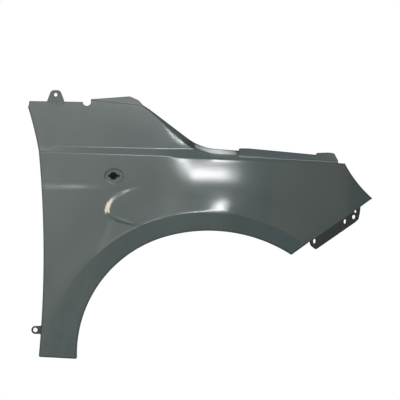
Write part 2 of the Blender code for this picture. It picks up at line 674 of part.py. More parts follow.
def pressed_sheet(loop, lips, holes, rows, depth, grid_step, fold_radius, fold_way):
    """A sheet as (points, faces): a height field inside the loop, and lips folded from its edge."""
    side = outward(loop)
    flat_loop = loop - side * np.where(lips > 0.0, fold_radius, 0.0)[:, None]
    edge_gap = grid_step * EDGE_GAP_SHARE
    fine_edge = divided([*flat_loop, flat_loop[0]], edge_gap)
    rings, kept, links, total = [], [], [], 0
    for ring in (flat_loop, *holes):
        rings.append(list(range(total, total + len(ring))))
        kept.append(ring)
        total += len(ring)
    for row in rows:
        fits = inside(row, flat_loop) & clear_of(row, fine_edge, edge_gap)
        for hole in holes:
            fits &= clear_of(row, hole, edge_gap) & ~inside(row, hole)
        number = total - 1 + np.cumsum(fits)
        links.extend((int(number[i]), int(number[i + 1])) for i in range(len(row) - 1)
                     if fits[i] and fits[i + 1])
        kept.append(row[fits])
        total += int(fits.sum())
    low, high = flat_loop.min(axis=0), flat_loop.max(axis=0)
    grid = np.array([(x, z) for x in np.arange(low[0], high[0], grid_step)
                     for z in np.arange(low[1], high[1], grid_step)])
    grid = grid[inside(grid, flat_loop)]
    grid = grid[clear_of(grid, np.vstack(kept), grid_step * GRID_CLEARANCE_SHARE)]
    flat, _edges, faces, origins, _, _ = delaunay_2d_cdt(
        [Vector(p) for p in np.vstack((*kept, grid))], links, rings, 2, 1e-7)
    flat = np.array([tuple(p) for p in flat])
    place = {source: index for index, sources in enumerate(origins) for source in sources}
    solid = np.column_stack((flat[:, 0], depth(flat[:, 0], flat[:, 1]), flat[:, 1]))
    points = [tuple(p) for p in solid]
    quads = [tuple(face) for face in faces]
    count = len(loop)
    columns = {}
    for index in range(count):
        if lips[index] == 0.0:
            continue
        root = place[index]
        column = [root]
        for angle in FOLD_ANGLES:
            turn = math.radians(angle)
            flat_point = flat_loop[index] + side[index] * fold_radius * math.sin(turn)
            drop = fold_radius * (1.0 - math.cos(turn))
            points.append((flat_point[0], points[root][1] + fold_way * drop, flat_point[1]))
            column.append(len(points) - 1)
        edge = loop[index]
        points.append((edge[0], points[root][1] + fold_way * lips[index], edge[1]))
        column.append(len(points) - 1)
        columns[index] = column
    for index, column in columns.items():
        following = columns.get((index + 1) % count)
        if following:
            for a, b in zip(range(len(column) - 1), range(1, len(column))):
                quads.append((column[a], following[a], following[b], column[b]))
    return points, quads


def material(name, colour, roughness, metallic):
    """A plain Principled material."""
    result = bpy.data.materials.new(name)
    result.use_nodes = True
    shader = result.node_tree.nodes["Principled BSDF"]
    shader.inputs["Base Color"].default_value = colour
    shader.inputs["Roughness"].default_value = roughness
    shader.inputs["Metallic"].default_value = metallic
    return result


def sheet_object(name, sheet, thickness, finish, parent):
    """An object from a sheet, thickened away from its painted side."""
    points, faces = sheet
    mesh = bpy.data.meshes.new(name)
    mesh.from_pydata(points, [], faces)
    mesh.materials.append(finish)
    mesh.shade_smooth()
    mesh.set_sharp_from_angle(angle=math.radians(SHARP_ANGLE))
    item = bpy.data.objects.new(name, mesh)
    bpy.context.scene.collection.objects.link(item)
    wall = item.modifiers.new("sheet thickness", "SOLIDIFY")
    wall.thickness = thickness
    wall.offset = -1.0
    wall.use_even_offset = True
    item.parent = parent
    return item


def closed_object(name, points, faces, parent):
    """An object from a closed mesh, with its faces turned outwards."""
    mesh = bpy.data.meshes.new(name)
    mesh.from_pydata(points, [], faces)
    work = bmesh.new()
    work.from_mesh(mesh)
    bmesh.ops.recalc_face_normals(work, faces=work.faces)
    work.to_mesh(mesh)
    work.free()
    item = bpy.data.objects.new(name, mesh)
    bpy.context.scene.collection.objects.link(item)
    item.parent = parent
    return item


def lip_holes():
    """Centre, direction along the lip, direction through it, and half length of each lip hole."""
    rear_centre = arch_rear_centre()
    for angle in ARCH_HOLE_ANGLES:
        front = angle < ARCH_JOIN_ANGLE
        centre = (ARCH_FRONT_X, ARCH_FRONT_Z) if front else rear_centre
        radius = ARCH_FRONT_RADIUS if front else ARCH_REAR_RADIUS
        through = np.array((math.cos(math.radians(angle)), math.sin(math.radians(angle))))
        place = np.array(centre) + through * radius
        yield place, np.array((-through[1], through[0])), through, ARCH_LIP, LIP_HOLE_RADIUS
    foot_front = arch_line(EDGE_STEP)[-1]
    run = np.array(FOOT_REAR) - foot_front
    place = foot_front + run / 2.0
    run /= np.linalg.norm(run)
    yield place, run, np.array((-run[1], run[0])), FOOT_LIP, FOOT_SLOT_HALF_LENGTH


def make_lip_cutter(parent):
    """Prisms that cut the clip holes in the arch lip and the screw slot in the foot lip."""
    points, faces = [], []
    for place, along, through, lip, half_length in lip_holes():
        middle_y = float(surface_depth(place[0], place[1])) + FOLD_RADIUS + (lip - FOLD_RADIUS) / 2.0
        first = len(points)
        for side in (-1.0, 1.0):
            for step in range(HOLE_POINTS):
                angle = math.tau * step / HOLE_POINTS
                flat = place + along * half_length * math.cos(angle) + through * side * LIP_CUT_REACH
                points.append((flat[0], middle_y + LIP_HOLE_RADIUS * math.sin(angle), flat[1]))
        near = list(range(first, first + HOLE_POINTS))
        far = [index + HOLE_POINTS for index in near]
        faces.append(near)
        faces.append(far[::-1])
        for i in range(HOLE_POINTS):
            j = (i + 1) % HOLE_POINTS
            faces.append((near[j], near[i], far[i], far[j]))
    cutter = closed_object("lip_cutter", points, faces, parent)
    cutter.hide_render = True
    cutter.display_type = "WIRE"
    return cutter


def make_panel(finish, parent):
    """The pressed outer panel with its lips, flanges and holes."""
    loop, lips = panel_outline(EDGE_STEP)
    holes = [ellipse(*hole, HOLE_POINTS)[::-1] for hole in BUMPER_HOLES]
    holes.append(lamp_hole()[::-1])
    sheet = pressed_sheet(loop, lips, holes, feature_rows(EDGE_STEP), surface_depth, GRID_STEP,
                          FOLD_RADIUS, 1.0)
    panel = sheet_object("fender_panel", sheet, SHEET, finish, parent)
    cut = panel.modifiers.new("lip holes", "BOOLEAN")
    cut.operation = "DIFFERENCE"
    cut.solver = "EXACT"
    cut.object = make_lip_cutter(parent)
    return panel


def upper_bracket_plane():
    """Depth of the rear upper bracket's flat tab on the side that faces the panel."""
    edge = surface_depth(UPPER_HOLE_X, TOP_REAR[1])
    return float(edge) + SHEET + WELD_GAP + UPPER_JOGGLE


def upper_bracket_depth(x, z):
    """The leaf follows the panel's inner side, and the tab above it stands flat."""
    tilt = (z - SIDE_FLAT_Z) / SIDE_RADIUS
    leaf = surface_depth(x, z) + SHEET * np.sqrt(1.0 + tilt ** 2) + WELD_GAP
    above = smooth_step((z - TOP_REAR[1] + UPPER_BEND_DROP) / UPPER_BEND_HEIGHT)
    return leaf * (1.0 - above) + upper_bracket_plane() * above


def make_upper_bracket(finish, parent):
    """The tab above the panel's rear upper edge, welded behind it."""
    low_z = TOP_REAR[1] - UPPER_LEAF_DEPTH
    half = UPPER_BASE_HALF_WIDTH
    head = UPPER_HEAD_RADIUS
    start = (UPPER_HOLE_X - half, low_z + 2.0 * UPPER_LEAF_CORNER, 0.0)
    outline = filleted((
        start,
        (UPPER_HOLE_X - half, TOP_REAR[1], UPPER_BASE_FILLET),
        (UPPER_HOLE_X - head, UPPER_HOLE_Z + head, head * UPPER_HEAD_SHARE),
        (UPPER_HOLE_X + head, UPPER_HOLE_Z + head, head * UPPER_HEAD_SHARE),
        (UPPER_HOLE_X + half, TOP_REAR[1], UPPER_BASE_FILLET),
        (UPPER_HOLE_X + half, low_z, UPPER_LEAF_CORNER),
        (UPPER_HOLE_X - half, low_z, UPPER_LEAF_CORNER),
        start,
    ), BRACKET_GRID_STEP)[:-1]
    hole = ellipse(UPPER_HOLE_X, UPPER_HOLE_Z, UPPER_HOLE_RADIUS, UPPER_HOLE_RADIUS, HOLE_POINTS)
    bend_z = TOP_REAR[1] - UPPER_BEND_DROP
    rows = []
    for row_z in (bend_z, bend_z + UPPER_BEND_HEIGHT):
        ends = [np.array((UPPER_HOLE_X + side * (half - UPPER_ROW_INSET), row_z)) for side in (-1.0, 1.0)]
        rows.append(divided(ends, BRACKET_GRID_STEP))
    sheet = pressed_sheet(outline, np.zeros(len(outline)), [hole[::-1]], rows, upper_bracket_depth,
                          BRACKET_GRID_STEP, 0.0, 1.0)
    return sheet_object("rear_upper_bracket", sheet, BRACKET_SHEET, finish, parent)


def door_edge_x(z):
    """The door edge below the waist."""
    line = sagged(FOOT_REAR, DOOR_KINK, DOOR_SAG, EDGE_STEP)
    return float(np.interp(z, line[:, 1], line[:, 0]))


def make_lower_bracket(finish, parent):
    """The ear behind the door edge, welded to the inner side of the door lip."""
    low_z, high_z = LOWER_HOLE_Z - LOWER_HALF_HEIGHT, LOWER_HOLE_Z + LOWER_HALF_HEIGHT
    inset = SHEET + WELD_GAP
    fold_low = (door_edge_x(low_z) + inset, low_z)
    fold_high = (door_edge_x(high_z) + inset, high_z)
    head_x = LOWER_HOLE_X - LOWER_HEAD_RADIUS
    reach = LOWER_HEAD_RADIUS
    outline = filleted((
        (*fold_low, 0.0),
        (fold_low[0] - LOWER_NECK_REACH, LOWER_HOLE_Z - reach, LOWER_NECK_FILLET),
        (head_x, LOWER_HOLE_Z - reach, reach * LOWER_HEAD_SHARE),
        (head_x, LOWER_HOLE_Z + reach, reach * LOWER_HEAD_SHARE),
        (fold_high[0] - LOWER_NECK_REACH, LOWER_HOLE_Z + reach, LOWER_NECK_FILLET),
        (*fold_high, 0.0),
    ), BRACKET_GRID_STEP)
    fold = divided([np.array(fold_high), np.array(fold_low)], BRACKET_GRID_STEP)[1:-1]
    loop = np.vstack((outline, fold))
    lips = np.zeros(len(loop))
    lips[len(outline):] = LOWER_LEAF + 2.0 * BRACKET_BEND_RADIUS
    hole = ellipse(LOWER_HOLE_X, LOWER_HOLE_Z, LOWER_HOLE_RADIUS, LOWER_HOLE_RADIUS, HOLE_POINTS)
    collars = [ellipse(LOWER_HOLE_X, LOWER_HOLE_Z, radius, radius, HOLE_POINTS)
               for radius in (LOWER_COLLAR_RADIUS - LOWER_COLLAR_WALL, LOWER_COLLAR_RADIUS)]
    edge_depths = [surface_depth(door_edge_x(z) + FOLD_RADIUS, z) for z in (low_z, high_z)]
    plate_y = float(max(edge_depths)) + DOOR_LIP + WELD_GAP + BRACKET_BEND_RADIUS

    def depth(x, z):
        from_hole = np.hypot(x - LOWER_HOLE_X, z - LOWER_HOLE_Z)
        raised = smooth_step((LOWER_COLLAR_RADIUS - from_hole) / LOWER_COLLAR_WALL)
        return plate_y - LOWER_COLLAR_RISE * raised

    sheet = pressed_sheet(loop, lips, [hole[::-1]], collars, depth, BRACKET_GRID_STEP,
                          BRACKET_BEND_RADIUS, -1.0)
    return sheet_object("rear_lower_bracket", sheet, BRACKET_SHEET, finish, parent)


def filled(rings):
    """Triangles inside the first ring and outside the rest, as places along all of the rings."""
    loops, total = [], 0
    for ring in rings:
        loops.append(list(range(total, total + len(ring))))
        total += len(ring)
    points = [Vector(point) for ring in rings for point in ring]
    _flat, _edges, faces, origins, _, _ = delaunay_2d_cdt(points, [], loops, 2, 1e-7)
    return [[origins[corner][0] for corner in face] for face in faces]


def make_plug(finish, parent):
    """The plug of the side lamp hole: a keyed boss in the hole and an oval flange behind the sheet."""
    boss = lamp_hole(PLUG_CLEARANCE)
    rim = ellipse(PLUG_X, PLUG_Z, PLUG_HALF_LENGTH, PLUG_HALF_HEIGHT, 2 * HOLE_POINTS)
    seat = SHEET + WELD_GAP
    points, starts = [], []
    for ring, behind in ((boss, PLUG_RECESS), (boss, seat), (rim, seat), (rim, seat + PLUG_THICKNESS)):
        starts.append(len(points))
        points.extend((x, float(surface_depth(x, z)) + behind, z) for x, z in ring)
    faces = [[starts[0] + i for i in face] for face in filled([boss])]
    faces += [[starts[3] + i for i in face] for face in filled([rim])]
    for face in filled([rim, boss]):
        faces.append([starts[2] + i if i < len(rim) else starts[1] + i - len(rim) for i in face])
    for start, ring in ((starts[0], boss), (starts[2], rim)):
        count = len(ring)
        for i in range(count):
            j = (i + 1) % count
            faces.append((start + i, start + j, start + count + j, start + count + i))
    plug = closed_object("side_lamp_plug", points, faces, parent)
    plug.data.materials.append(finish)
    return plug


def main():
    for item in list(bpy.data.objects):
        bpy.data.objects.remove(item, do_unlink=True)
    frame = bpy.data.objects.new("fender_frame", None)
    bpy.context.scene.collection.objects.link(frame)
    seat_y = upper_bracket_plane() + BRACKET_SHEET
    frame.location = (-UPPER_HOLE_X, -seat_y, -(UPPER_HOLE_Z - UPPER_SEAT_DROP))
    primer = material("grey-green primer", PRIMER_COLOUR, 0.35, 0.0)
    bracket_primer = material("bracket primer", BRACKET_COLOUR, 0.40, 0.0)
    make_panel(primer, frame)
    make_upper_bracket(bracket_primer, frame)
    make_lower_bracket(primer, frame)
    make_plug(material("plug rubber", PLUG_COLOUR, 0.60, 0.0), frame)


main()
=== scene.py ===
"""A car's right-hand front fender in satin grey-green primer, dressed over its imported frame.

The pressed panel, its two welded brackets and the plug in the lamp hole are meshed again here from
the sizes of the part, much finer than the frame's solids, so that the long reflections run clean.
Sizes are in metres. The panel is drawn with X forward, Z up and Y inboard, so it faces -Y.
"""

import math

import bmesh
import bpy
import numpy as np
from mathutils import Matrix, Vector
from mathutils.geometry import delaunay_2d_cdt
from mathutils.kdtree import KDTree


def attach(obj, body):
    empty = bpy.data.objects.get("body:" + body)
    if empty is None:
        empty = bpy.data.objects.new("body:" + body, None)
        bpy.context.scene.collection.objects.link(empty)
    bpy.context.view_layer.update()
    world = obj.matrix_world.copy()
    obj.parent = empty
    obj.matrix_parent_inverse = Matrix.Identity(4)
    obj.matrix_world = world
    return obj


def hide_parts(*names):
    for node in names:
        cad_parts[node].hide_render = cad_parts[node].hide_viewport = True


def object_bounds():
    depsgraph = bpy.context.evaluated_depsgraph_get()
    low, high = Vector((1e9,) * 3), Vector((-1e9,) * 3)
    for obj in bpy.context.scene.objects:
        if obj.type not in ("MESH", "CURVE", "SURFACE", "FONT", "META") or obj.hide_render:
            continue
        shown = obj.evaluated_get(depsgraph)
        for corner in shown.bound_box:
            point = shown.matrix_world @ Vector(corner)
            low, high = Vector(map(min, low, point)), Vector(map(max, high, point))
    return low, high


bl_info = {
    "name": "Front Fender",
    "version": (1, 0, 0),
    "blender": (4, 5, 0),
    "location": "3D View > Sidebar > Fender",
    "description": "Builds a pressed front fender in primer over its packed frame",
    "category": "Object",
}

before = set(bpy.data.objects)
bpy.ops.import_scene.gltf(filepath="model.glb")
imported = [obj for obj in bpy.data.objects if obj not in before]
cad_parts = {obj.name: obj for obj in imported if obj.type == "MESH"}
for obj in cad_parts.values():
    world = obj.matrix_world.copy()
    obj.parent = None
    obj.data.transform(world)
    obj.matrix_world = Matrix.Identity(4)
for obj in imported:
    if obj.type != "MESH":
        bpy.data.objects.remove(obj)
CAD_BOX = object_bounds()
BODY = "root"

# Gap between welded sheets, and how the folds are stepped
WELD_GAP = 0.0003
FOLD_STEPS = 5
SHORTEST_EDGE = 0.0006

# Spans over which slopes are measured: for the painted side, for its back and at the outline
FACE_SPAN = 0.0003
BACK_SPAN = 0.0016
EDGE_SPAN = 0.0004

# Fine points along the outline are this share of the mesh spacing apart. Rows keep a share of
# that gap clear of it, and the grid keeps a share of the finest spacing clear of both. Points
# closer than the merge distance become one.
EDGE_GAP_SHARE = 0.30
ROW_CLEARANCE_SHARE = 0.7
GRID_CLEARANCE_SHARE = 0.55
MERGE_DISTANCE = 1e-7

# Rounded corners of the outline: steps in a radius of arc, how far beyond the arc its neighbours
# are dropped, and how many points away the two lie that give its directions
CORNER_ARC_STEPS = 4.0
CORNER_CLEARANCE = 1.2
CORNER_AIM = 3

# Points round each kind of hole and ring
BUMPER_HOLE_POINTS = 28
LIP_HOLE_POINTS = 24
BOLT_HOLE_POINTS = 40
COLLAR_POINTS = 48
OVAL_POINTS = 72

# How the body side curves: along the car towards the lamp, and up the side
PLAN_START_X = -0.440
PLAN_LENGTH = 0.885
PLAN_POWER = 3.6
SIDE_FLAT_Z = 0.200
SIDE_RADIUS = 9.0

# Wheel arch: a front arc and a tighter rear arc that meet on one tangent
ARCH_FRONT_X = -0.0007
ARCH_FRONT_Z = -0.0614
ARCH_FRONT_RADIUS = 0.404
ARCH_REAR_RADIUS = 0.318
ARCH_JOIN_ANGLE = 106.0
NOSE_ANGLE = 57.2
FOOT_FRONT_Z = 0.0090

# Corners of the painted outline
FOOT_REAR = (-0.4415, 0.0145)
DOOR_KINK = (-0.4420, 0.5500)
DOOR_TOP = (-0.4712, 0.6672)
DOOR_SAG = 0.0128
PILLAR_SAG = 0.0018
TOP_REAR = (-0.4672, 0.6811)
NOTCH_CENTRE = (-0.3170, 0.6788)
NOTCH_RADIUS = 0.0105
NOTCH_FINENESS = 3.0
LAMP_TOP = (0.3640, 0.5207)
LAMP_TIP = (0.4420, 0.4266)
LAMP_SAG = 0.0060
NOSE_CORNER_RADIUS = 0.004
SMALL_CORNER_RADIUS = 0.003

# Upper painted edge, and the rim of the flange beyond it, as corners with their radii; and how
# finely these lines and the door edge are divided where a height or a place is looked up in them
SKIN_EDGE_SPACING = 0.001
FLANGE_RIM_SPACING = 0.003
DOOR_EDGE_SPACING = 0.010
SKIN_EDGE = (
    (-0.3068, 0.6806, 0.0),
    (-0.1715, 0.6668, 0.022),
    (-0.0279, 0.5389, 0.175),
    (0.3460, 0.5212, 0.0),
)
FLANGE_RIM = (
    (-0.3055, 0.6862, 0.0),
    (-0.2054, 0.6942, 0.004),
    (-0.1825, 0.6838, 0.006),
    (-0.1700, 0.6700, 0.006),
    (-0.1540, 0.6600, 0.010),
    (-0.0215, 0.5599, 0.140),
    (0.0798, 0.5524, 0.0),
    (0.0815, 0.5590, 0.001),
    (0.1080, 0.5586, 0.05),
    (0.2862, 0.5430, 0.0),
    (0.2884, 0.5482, 0.001),
    (0.3206, 0.5496, 0.004),
    (0.3370, 0.5478, 0.006),
    (0.3455, 0.5290, 0.004),
)

# Flange sections: depth of the step at the painted edge, its height, and the slope beyond
STEP_RADIUS = 0.0018
STEP_ANGLE = math.radians(72.0)
TOP_FLANGE_END_X = -0.166
HOOD_FLANGE_START_X = 0.070
SECTION_BLEND = 0.016
TOP_STEP_DEPTH = 0.0030
TOP_FLANGE_SLOPE = 0.85
GUTTER_STEP_DEPTH = 0.0090
GUTTER_SLOPE = 0.65
HOOD_STEP_DEPTH = 0.0060
HOOD_FLANGE_SLOPE = 1.15

# Bumper flange below the lower front edge, and its holes as centre and half sizes
BUMPER_ROOT_REAR = (0.2672, 0.3125)
BUMPER_ROOT_FRONT = (0.4078, 0.4045)
BUMPER_SLOPE = 0.95
BUMPER_END_REACH = 0.012
BUMPER_RIM = (
    (0.4066, 0.3880, 0.004),
    (0.4036, 0.3718, 0.003),
    (0.3952, 0.3636, 0.004),
    (0.2850, 0.2908, 0.006),
    (0.2705, 0.3020, 0.006),
)
BUMPER_HOLES = (
    (0.2806, 0.3138, 0.0033, 0.0062),
    (0.3643, 0.3652, 0.0031, 0.0060),
    (0.3892, 0.3773, 0.0044, 0.0056),
    (0.3934, 0.3920, 0.0028, 0.0037),
)

# Painted shade, drawn as darker and duller primer: the bumper flange ahead of the nose, and the
# gutter between its two ends, but less so round the place that shines
FOLD_BLEND = 0.0015
NOSE_X = 0.2300
GUTTER_START_X = -0.0750
GUTTER_START_FADE = 0.0300
GUTTER_END_X = 0.0800
GUTTER_SHINE_X = 0.0220
GUTTER_SHINE_REACH = 0.0650
GUTTER_SHADE_SHARE = 0.85

# Where highlights end within a few millimetres the mesh is finer: low corner, high corner, spacing
FINE_PATCHES = (
    ((-0.285, 0.340), (-0.165, 0.465), 0.0022),
    ((-0.125, 0.550), (-0.010, 0.640), 0.0018),
)

# Inward lips around the rest of the outline, and the clip holes and screw slot in them
DOOR_LIP = 0.012
FOOT_LIP = 0.018
ARCH_LIP = 0.012
NOSE_LIP = 0.008
LAMP_LIP = 0.008
LIP_HOLE_RADIUS = 0.0030
ARCH_HOLE_ANGLES = (66.0, 84.0, 102.0, 126.0, 150.0, 170.0)
FOOT_SLOT_HALF_LENGTH = 0.0060
LIP_ROW_SHARES = (0.33, 0.67)

# Waist step: two creases with a sloped band between them
WAIST_START_X = -0.440
WAIST_TOP_Z = 0.5628
WAIST_TOP_FALL = 0.0205
WAIST_LOW_Z = 0.5483
WAIST_LOW_FALL = 0.0340
WAIST_JOG = 0.0030
WAIST_JOG_X = -0.105
WAIST_JOG_WIDTH = 0.020
SHOULDER_START_X = -0.150
SHOULDER_FULL_X = 0.010

# Crown above the arch, under the shoulder crease
CROWN_START_X = -0.142
CROWN_FULL_X = -0.032
CROWN_END_X = 0.120
CROWN_FADE = 0.200
CROWN_HEIGHT = 0.098
CROWN_DIP_X = 0.010
CROWN_DIP_WIDTH = 0.030
CROWN_DIP_REACH = 0.015
CROWN_DIP_TILT = 0.050

# Flared band around the arch
FLARE_X = -0.0043
FLARE_Z = -0.0379
FLARE_BAND = 0.025
FLARE_RADIUS = ARCH_FRONT_RADIUS + FLARE_BAND
FLARE_REACH = 0.062
FLARE_BLOB_TILT = 0.088
FLARE_BLOB_ANGLE = 83.6
FLARE_BLOB_HALF_ANGLE = 11.0
FLARE_LIP_TILT = 0.100
FLARE_LIP_REACH = 0.009
FLARE_BAND_TILT = 0.10
FLARE_REAR_ANGLE = 118.0
FLARE_FRONT_ANGLE = 61.0
FLARE_FADE_ANGLE = 16.0
FLARE_REAR_SOFTNESS = 0.020
FLARE_REAR_LOSS = 0.55

# Rounded shoulder where the flare dies into the body behind it: an oval that fades forward
BULGE_X = -0.1455
BULGE_Z = 0.3945
BULGE_HALF_LENGTH = 0.118
BULGE_UPPER_HEIGHT = 0.0640
BULGE_LOWER_HEIGHT = 0.0400
BULGE_EDGE_SHARE = 0.085
BULGE_FADE_X = -0.2550
BULGE_FADE_REACH = 0.115

# The flare's crease runs on behind the arch as a short ridge that turns up
RIDGE_REAR = (-0.2560, 0.3830)
RIDGE_FRONT = (-0.1820, 0.3539)
RIDGE_REACH = 0.010
RIDGE_TILT = 0.105
RIDGE_FADE = 0.020

# Roll of the panel beside the cowl slope
ROLL_X = -0.083
ROLL_HALF_LENGTH = 0.046
ROLL_REACH = 0.038
ROLL_TILT = 0.085

# Soft character line that runs in from the door
DOOR_LINE_Z = 0.4575
DOOR_LINE_HALF_WIDTH = 0.010
DOOR_LINE_END_X = -0.240
DOOR_LINE_FADE = 0.120

# Side lamp seat, its keyed hole and the plug that closes it
LAMP_SEAT_X = -0.2454
LAMP_SEAT_Z = 0.4848
LAMP_SEAT_HALF_LENGTH = 0.0250
LAMP_SEAT_HALF_HEIGHT = 0.0195
LAMP_SEAT_DEPTH = 0.0026
LAMP_SEAT_OUTER = 1.05
LAMP_SEAT_WALL = 0.20
LAMP_HOLE_X = -0.2474
LAMP_HOLE_Z = 0.4858
LAMP_HOLE_RADIUS = 0.0097
LAMP_LUG_HALF_HEIGHT = 0.0026
LAMP_REAR_LUG = 0.0135
LAMP_FRONT_LUG = 0.0158
LAMP_HOLE_STEPS = 10
PLUG_X = -0.2462
PLUG_Z = 0.4852
PLUG_HALF_LENGTH = 0.0185
PLUG_HALF_HEIGHT = 0.0145
PLUG_CLEARANCE = 0.0004
PLUG_RECESS = 0.0003
PLUG_THICKNESS = 0.0022
PLUG_DISH_RADIUS = 0.0080
PLUG_BEAD_RADIUS = 0.0060
PLUG_HUB_RADIUS = 0.0040
PLUG_DISH_DEPTH = 0.0005
PLUG_SHARP_ANGLE = math.radians(30.0)
PLUG_RING_POINTS = 40
PLUG_BOSS_STEPS = 14

# Rear upper bracket
UPPER_HOLE_X = -0.3985
UPPER_HOLE_Z = 0.6975
UPPER_HOLE_RADIUS = 0.0045
UPPER_HEAD_RADIUS = 0.0120
UPPER_BASE_HALF_WIDTH = 0.0225
UPPER_LEAF_DEPTH = 0.0240
UPPER_LEAF_CORNER = 0.006
UPPER_SHOULDER_RADIUS = 0.004
UPPER_HEAD_ROUNDING = 0.95
UPPER_JOGGLE = 0.0015
UPPER_SEAT_DROP = 0.0095
UPPER_BEND_DROP = 0.004
UPPER_BEND_HEIGHT = 0.005
UPPER_BEND_ROWS = (-0.004, -0.003, -0.0015, 0.0, 0.001)
UPPER_ROW_POINTS = 24
UPPER_SPACING = 0.0022

# Mesh spacing along both brackets' edges, and the inner radius of the lower one's bend
BRACKET_EDGE_SPACING = 0.0012
BRACKET_BEND_RADIUS = 0.0025

# Rear lower bracket
LOWER_HOLE_X = -0.4511
LOWER_HOLE_Z = 0.0840
LOWER_HOLE_RADIUS = 0.0057
LOWER_HEAD_RADIUS = 0.0106
LOWER_HALF_HEIGHT = 0.0140
LOWER_COLLAR_RADIUS = 0.0082
LOWER_COLLAR_RISE = 0.0010
LOWER_COLLAR_WIDTH = 0.001
LOWER_COLLAR_ROWS = 4
LOWER_LEAF = 0.0080
LOWER_SHOULDER = 0.004
LOWER_SHOULDER_RADIUS = 0.003
LOWER_HEAD_ROUNDING = 0.98
LOWER_FOLD_SPACING = 0.002
LOWER_SPACING = 0.0020
# Painted shade over the whole lower bracket: its primer is drawn this much darker and duller
LOWER_SHADE_SHARE = 0.5

# Spot welds on the painted side of the upper bracket
WELD_X = (-0.4080, -0.3962, -0.3808)
WELD_Z = 0.6737
WELD_RADIUS = 0.0026
WELD_HEIGHT = 0.0002
WELD_SEGMENTS = 24
WELD_RINGS = 12

# Mesh rows across each form: shares of the edge step's arcs and of its wall, of a crease's
# softness and of the lamp seat's half sizes, and distances from the bumper flange's root
STEP_ROWS = ((-1.0, 0.0), (0.0, 0.0), (0.4, 0.0), (0.75, 0.0), (1.0, 0.0), (1.0, 1.0),
             (1.3, 1.0), (1.7, 1.0), (2.0, 1.0), (2.8, 1.0))
WAIST_ROWS = (-1.6, -1.0, -0.5, 0.0, 0.5, 1.0, 1.6)
FLARE_ROWS = (-3.0, -1.0, -0.5, 0.0, 0.5, 1.0, 2.0, 4.0)
FLARE_ROW_ANGLES = (FLARE_FRONT_ANGLE - 12.0, FLARE_REAR_ANGLE + 30.0)
LAMP_SEAT_ROWS = (1.12, 1.05, 1.0, 0.95, 0.90, 0.85, 0.78)
BUMPER_ROWS = (-0.0012, 0.0, 0.0012)

# Primer near a cut edge, and where shade is painted into it: how much darker and duller it is.
# Then the height of the fine texture on primer and rubber.
RIM_WIDTH = 0.0035
RIM_DARKENING = 0.45
RIM_DULLING = 0.7
SHADE_DARKENING = 0.75
SHADE_DULLING = 0.8
FINE_BUMP = 0.00004

# Output of a Mix node that holds its colour
MIXED_COLOUR = 2

# Lamps: azimuth and elevation from the panel, half angles across and up, all in degrees, and
# radiance in red, green and blue. The boxes show as highlights, and the fills tint plain tones.
LAMPS = (
    ("shoulder_box", 7.6, 15.3, 13.6, 2.2, (11.0, 11.0, 11.2)),
    ("shoulder_core", 12.0, 15.6, 6.0, 1.5, (30.0, 30.0, 30.5)),
    ("door_side_box", -17.4, 8.0, 3.4, 11.0, (19.0, 16.6, 13.4)),
    ("gutter_box", 32.0, 65.0, 12.0, 2.5, (14.0, 14.6, 14.6)),
    ("left_fill", -32.0, 12.0, 12.0, 12.0, (0.00, 0.48, 0.88)),
    ("low_fill", -27.0, -19.0, 13.0, 9.0, (0.35, 0.62, 0.68)),
    ("waist_box", -14.0, 36.0, 8.0, 3.0, (6.0, 6.0, 6.0)),
    ("right_fill", 50.0, 10.0, 14.0, 10.0, (0.46, 0.30, 0.15)),
    ("top_box", 20.0, 80.0, 12.0, 10.0, (2.1, 2.0, 2.0)),
)

# The camera stands square on to the panel, as the photograph's does
CAMERA_PANEL = (-0.02184, -5.0, 0.42276)
SENSOR = 0.036
VIEW_WIDTH = 1.040
VIEW_END = 60.0
STAGE_HALF_WIDTH = 9.0
FLOOR_WHITE_SHARE = 0.15
WHITE = (1.0, 1.0, 1.0, 1.0)


class FenderSheet(bpy.types.PropertyGroup):
    """Sizes of the sheet metal and of the mesh that stands for it."""
    thickness: bpy.props.FloatProperty(
        name="Sheet Thickness", description="Thickness of the pressed panel",
        default=0.0008, min=0.0005, max=0.002, subtype="DISTANCE", unit="LENGTH")
    bracket_thickness: bpy.props.FloatProperty(
        name="Bracket Thickness", description="Thickness of the two welded brackets",
        default=0.0015, min=0.0008, max=0.003, subtype="DISTANCE", unit="LENGTH")
    fold_radius: bpy.props.FloatProperty(
        name="Fold Radius", description="Outer radius where the lips fold inwards",
        default=0.0020, min=0.001, max=0.003, subtype="DISTANCE", unit="LENGTH")
    spacing: bpy.props.FloatProperty(
        name="Mesh Spacing", description="Distance between the panel's mesh points",
        default=0.0048, min=0.003, max=0.02, subtype="DISTANCE", unit="LENGTH")
    edge_spacing: bpy.props.FloatProperty(
        name="Edge Spacing", description="Distance between mesh points along edges and creases",
        default=0.0036, min=0.002, max=0.02, subtype="DISTANCE", unit="LENGTH")


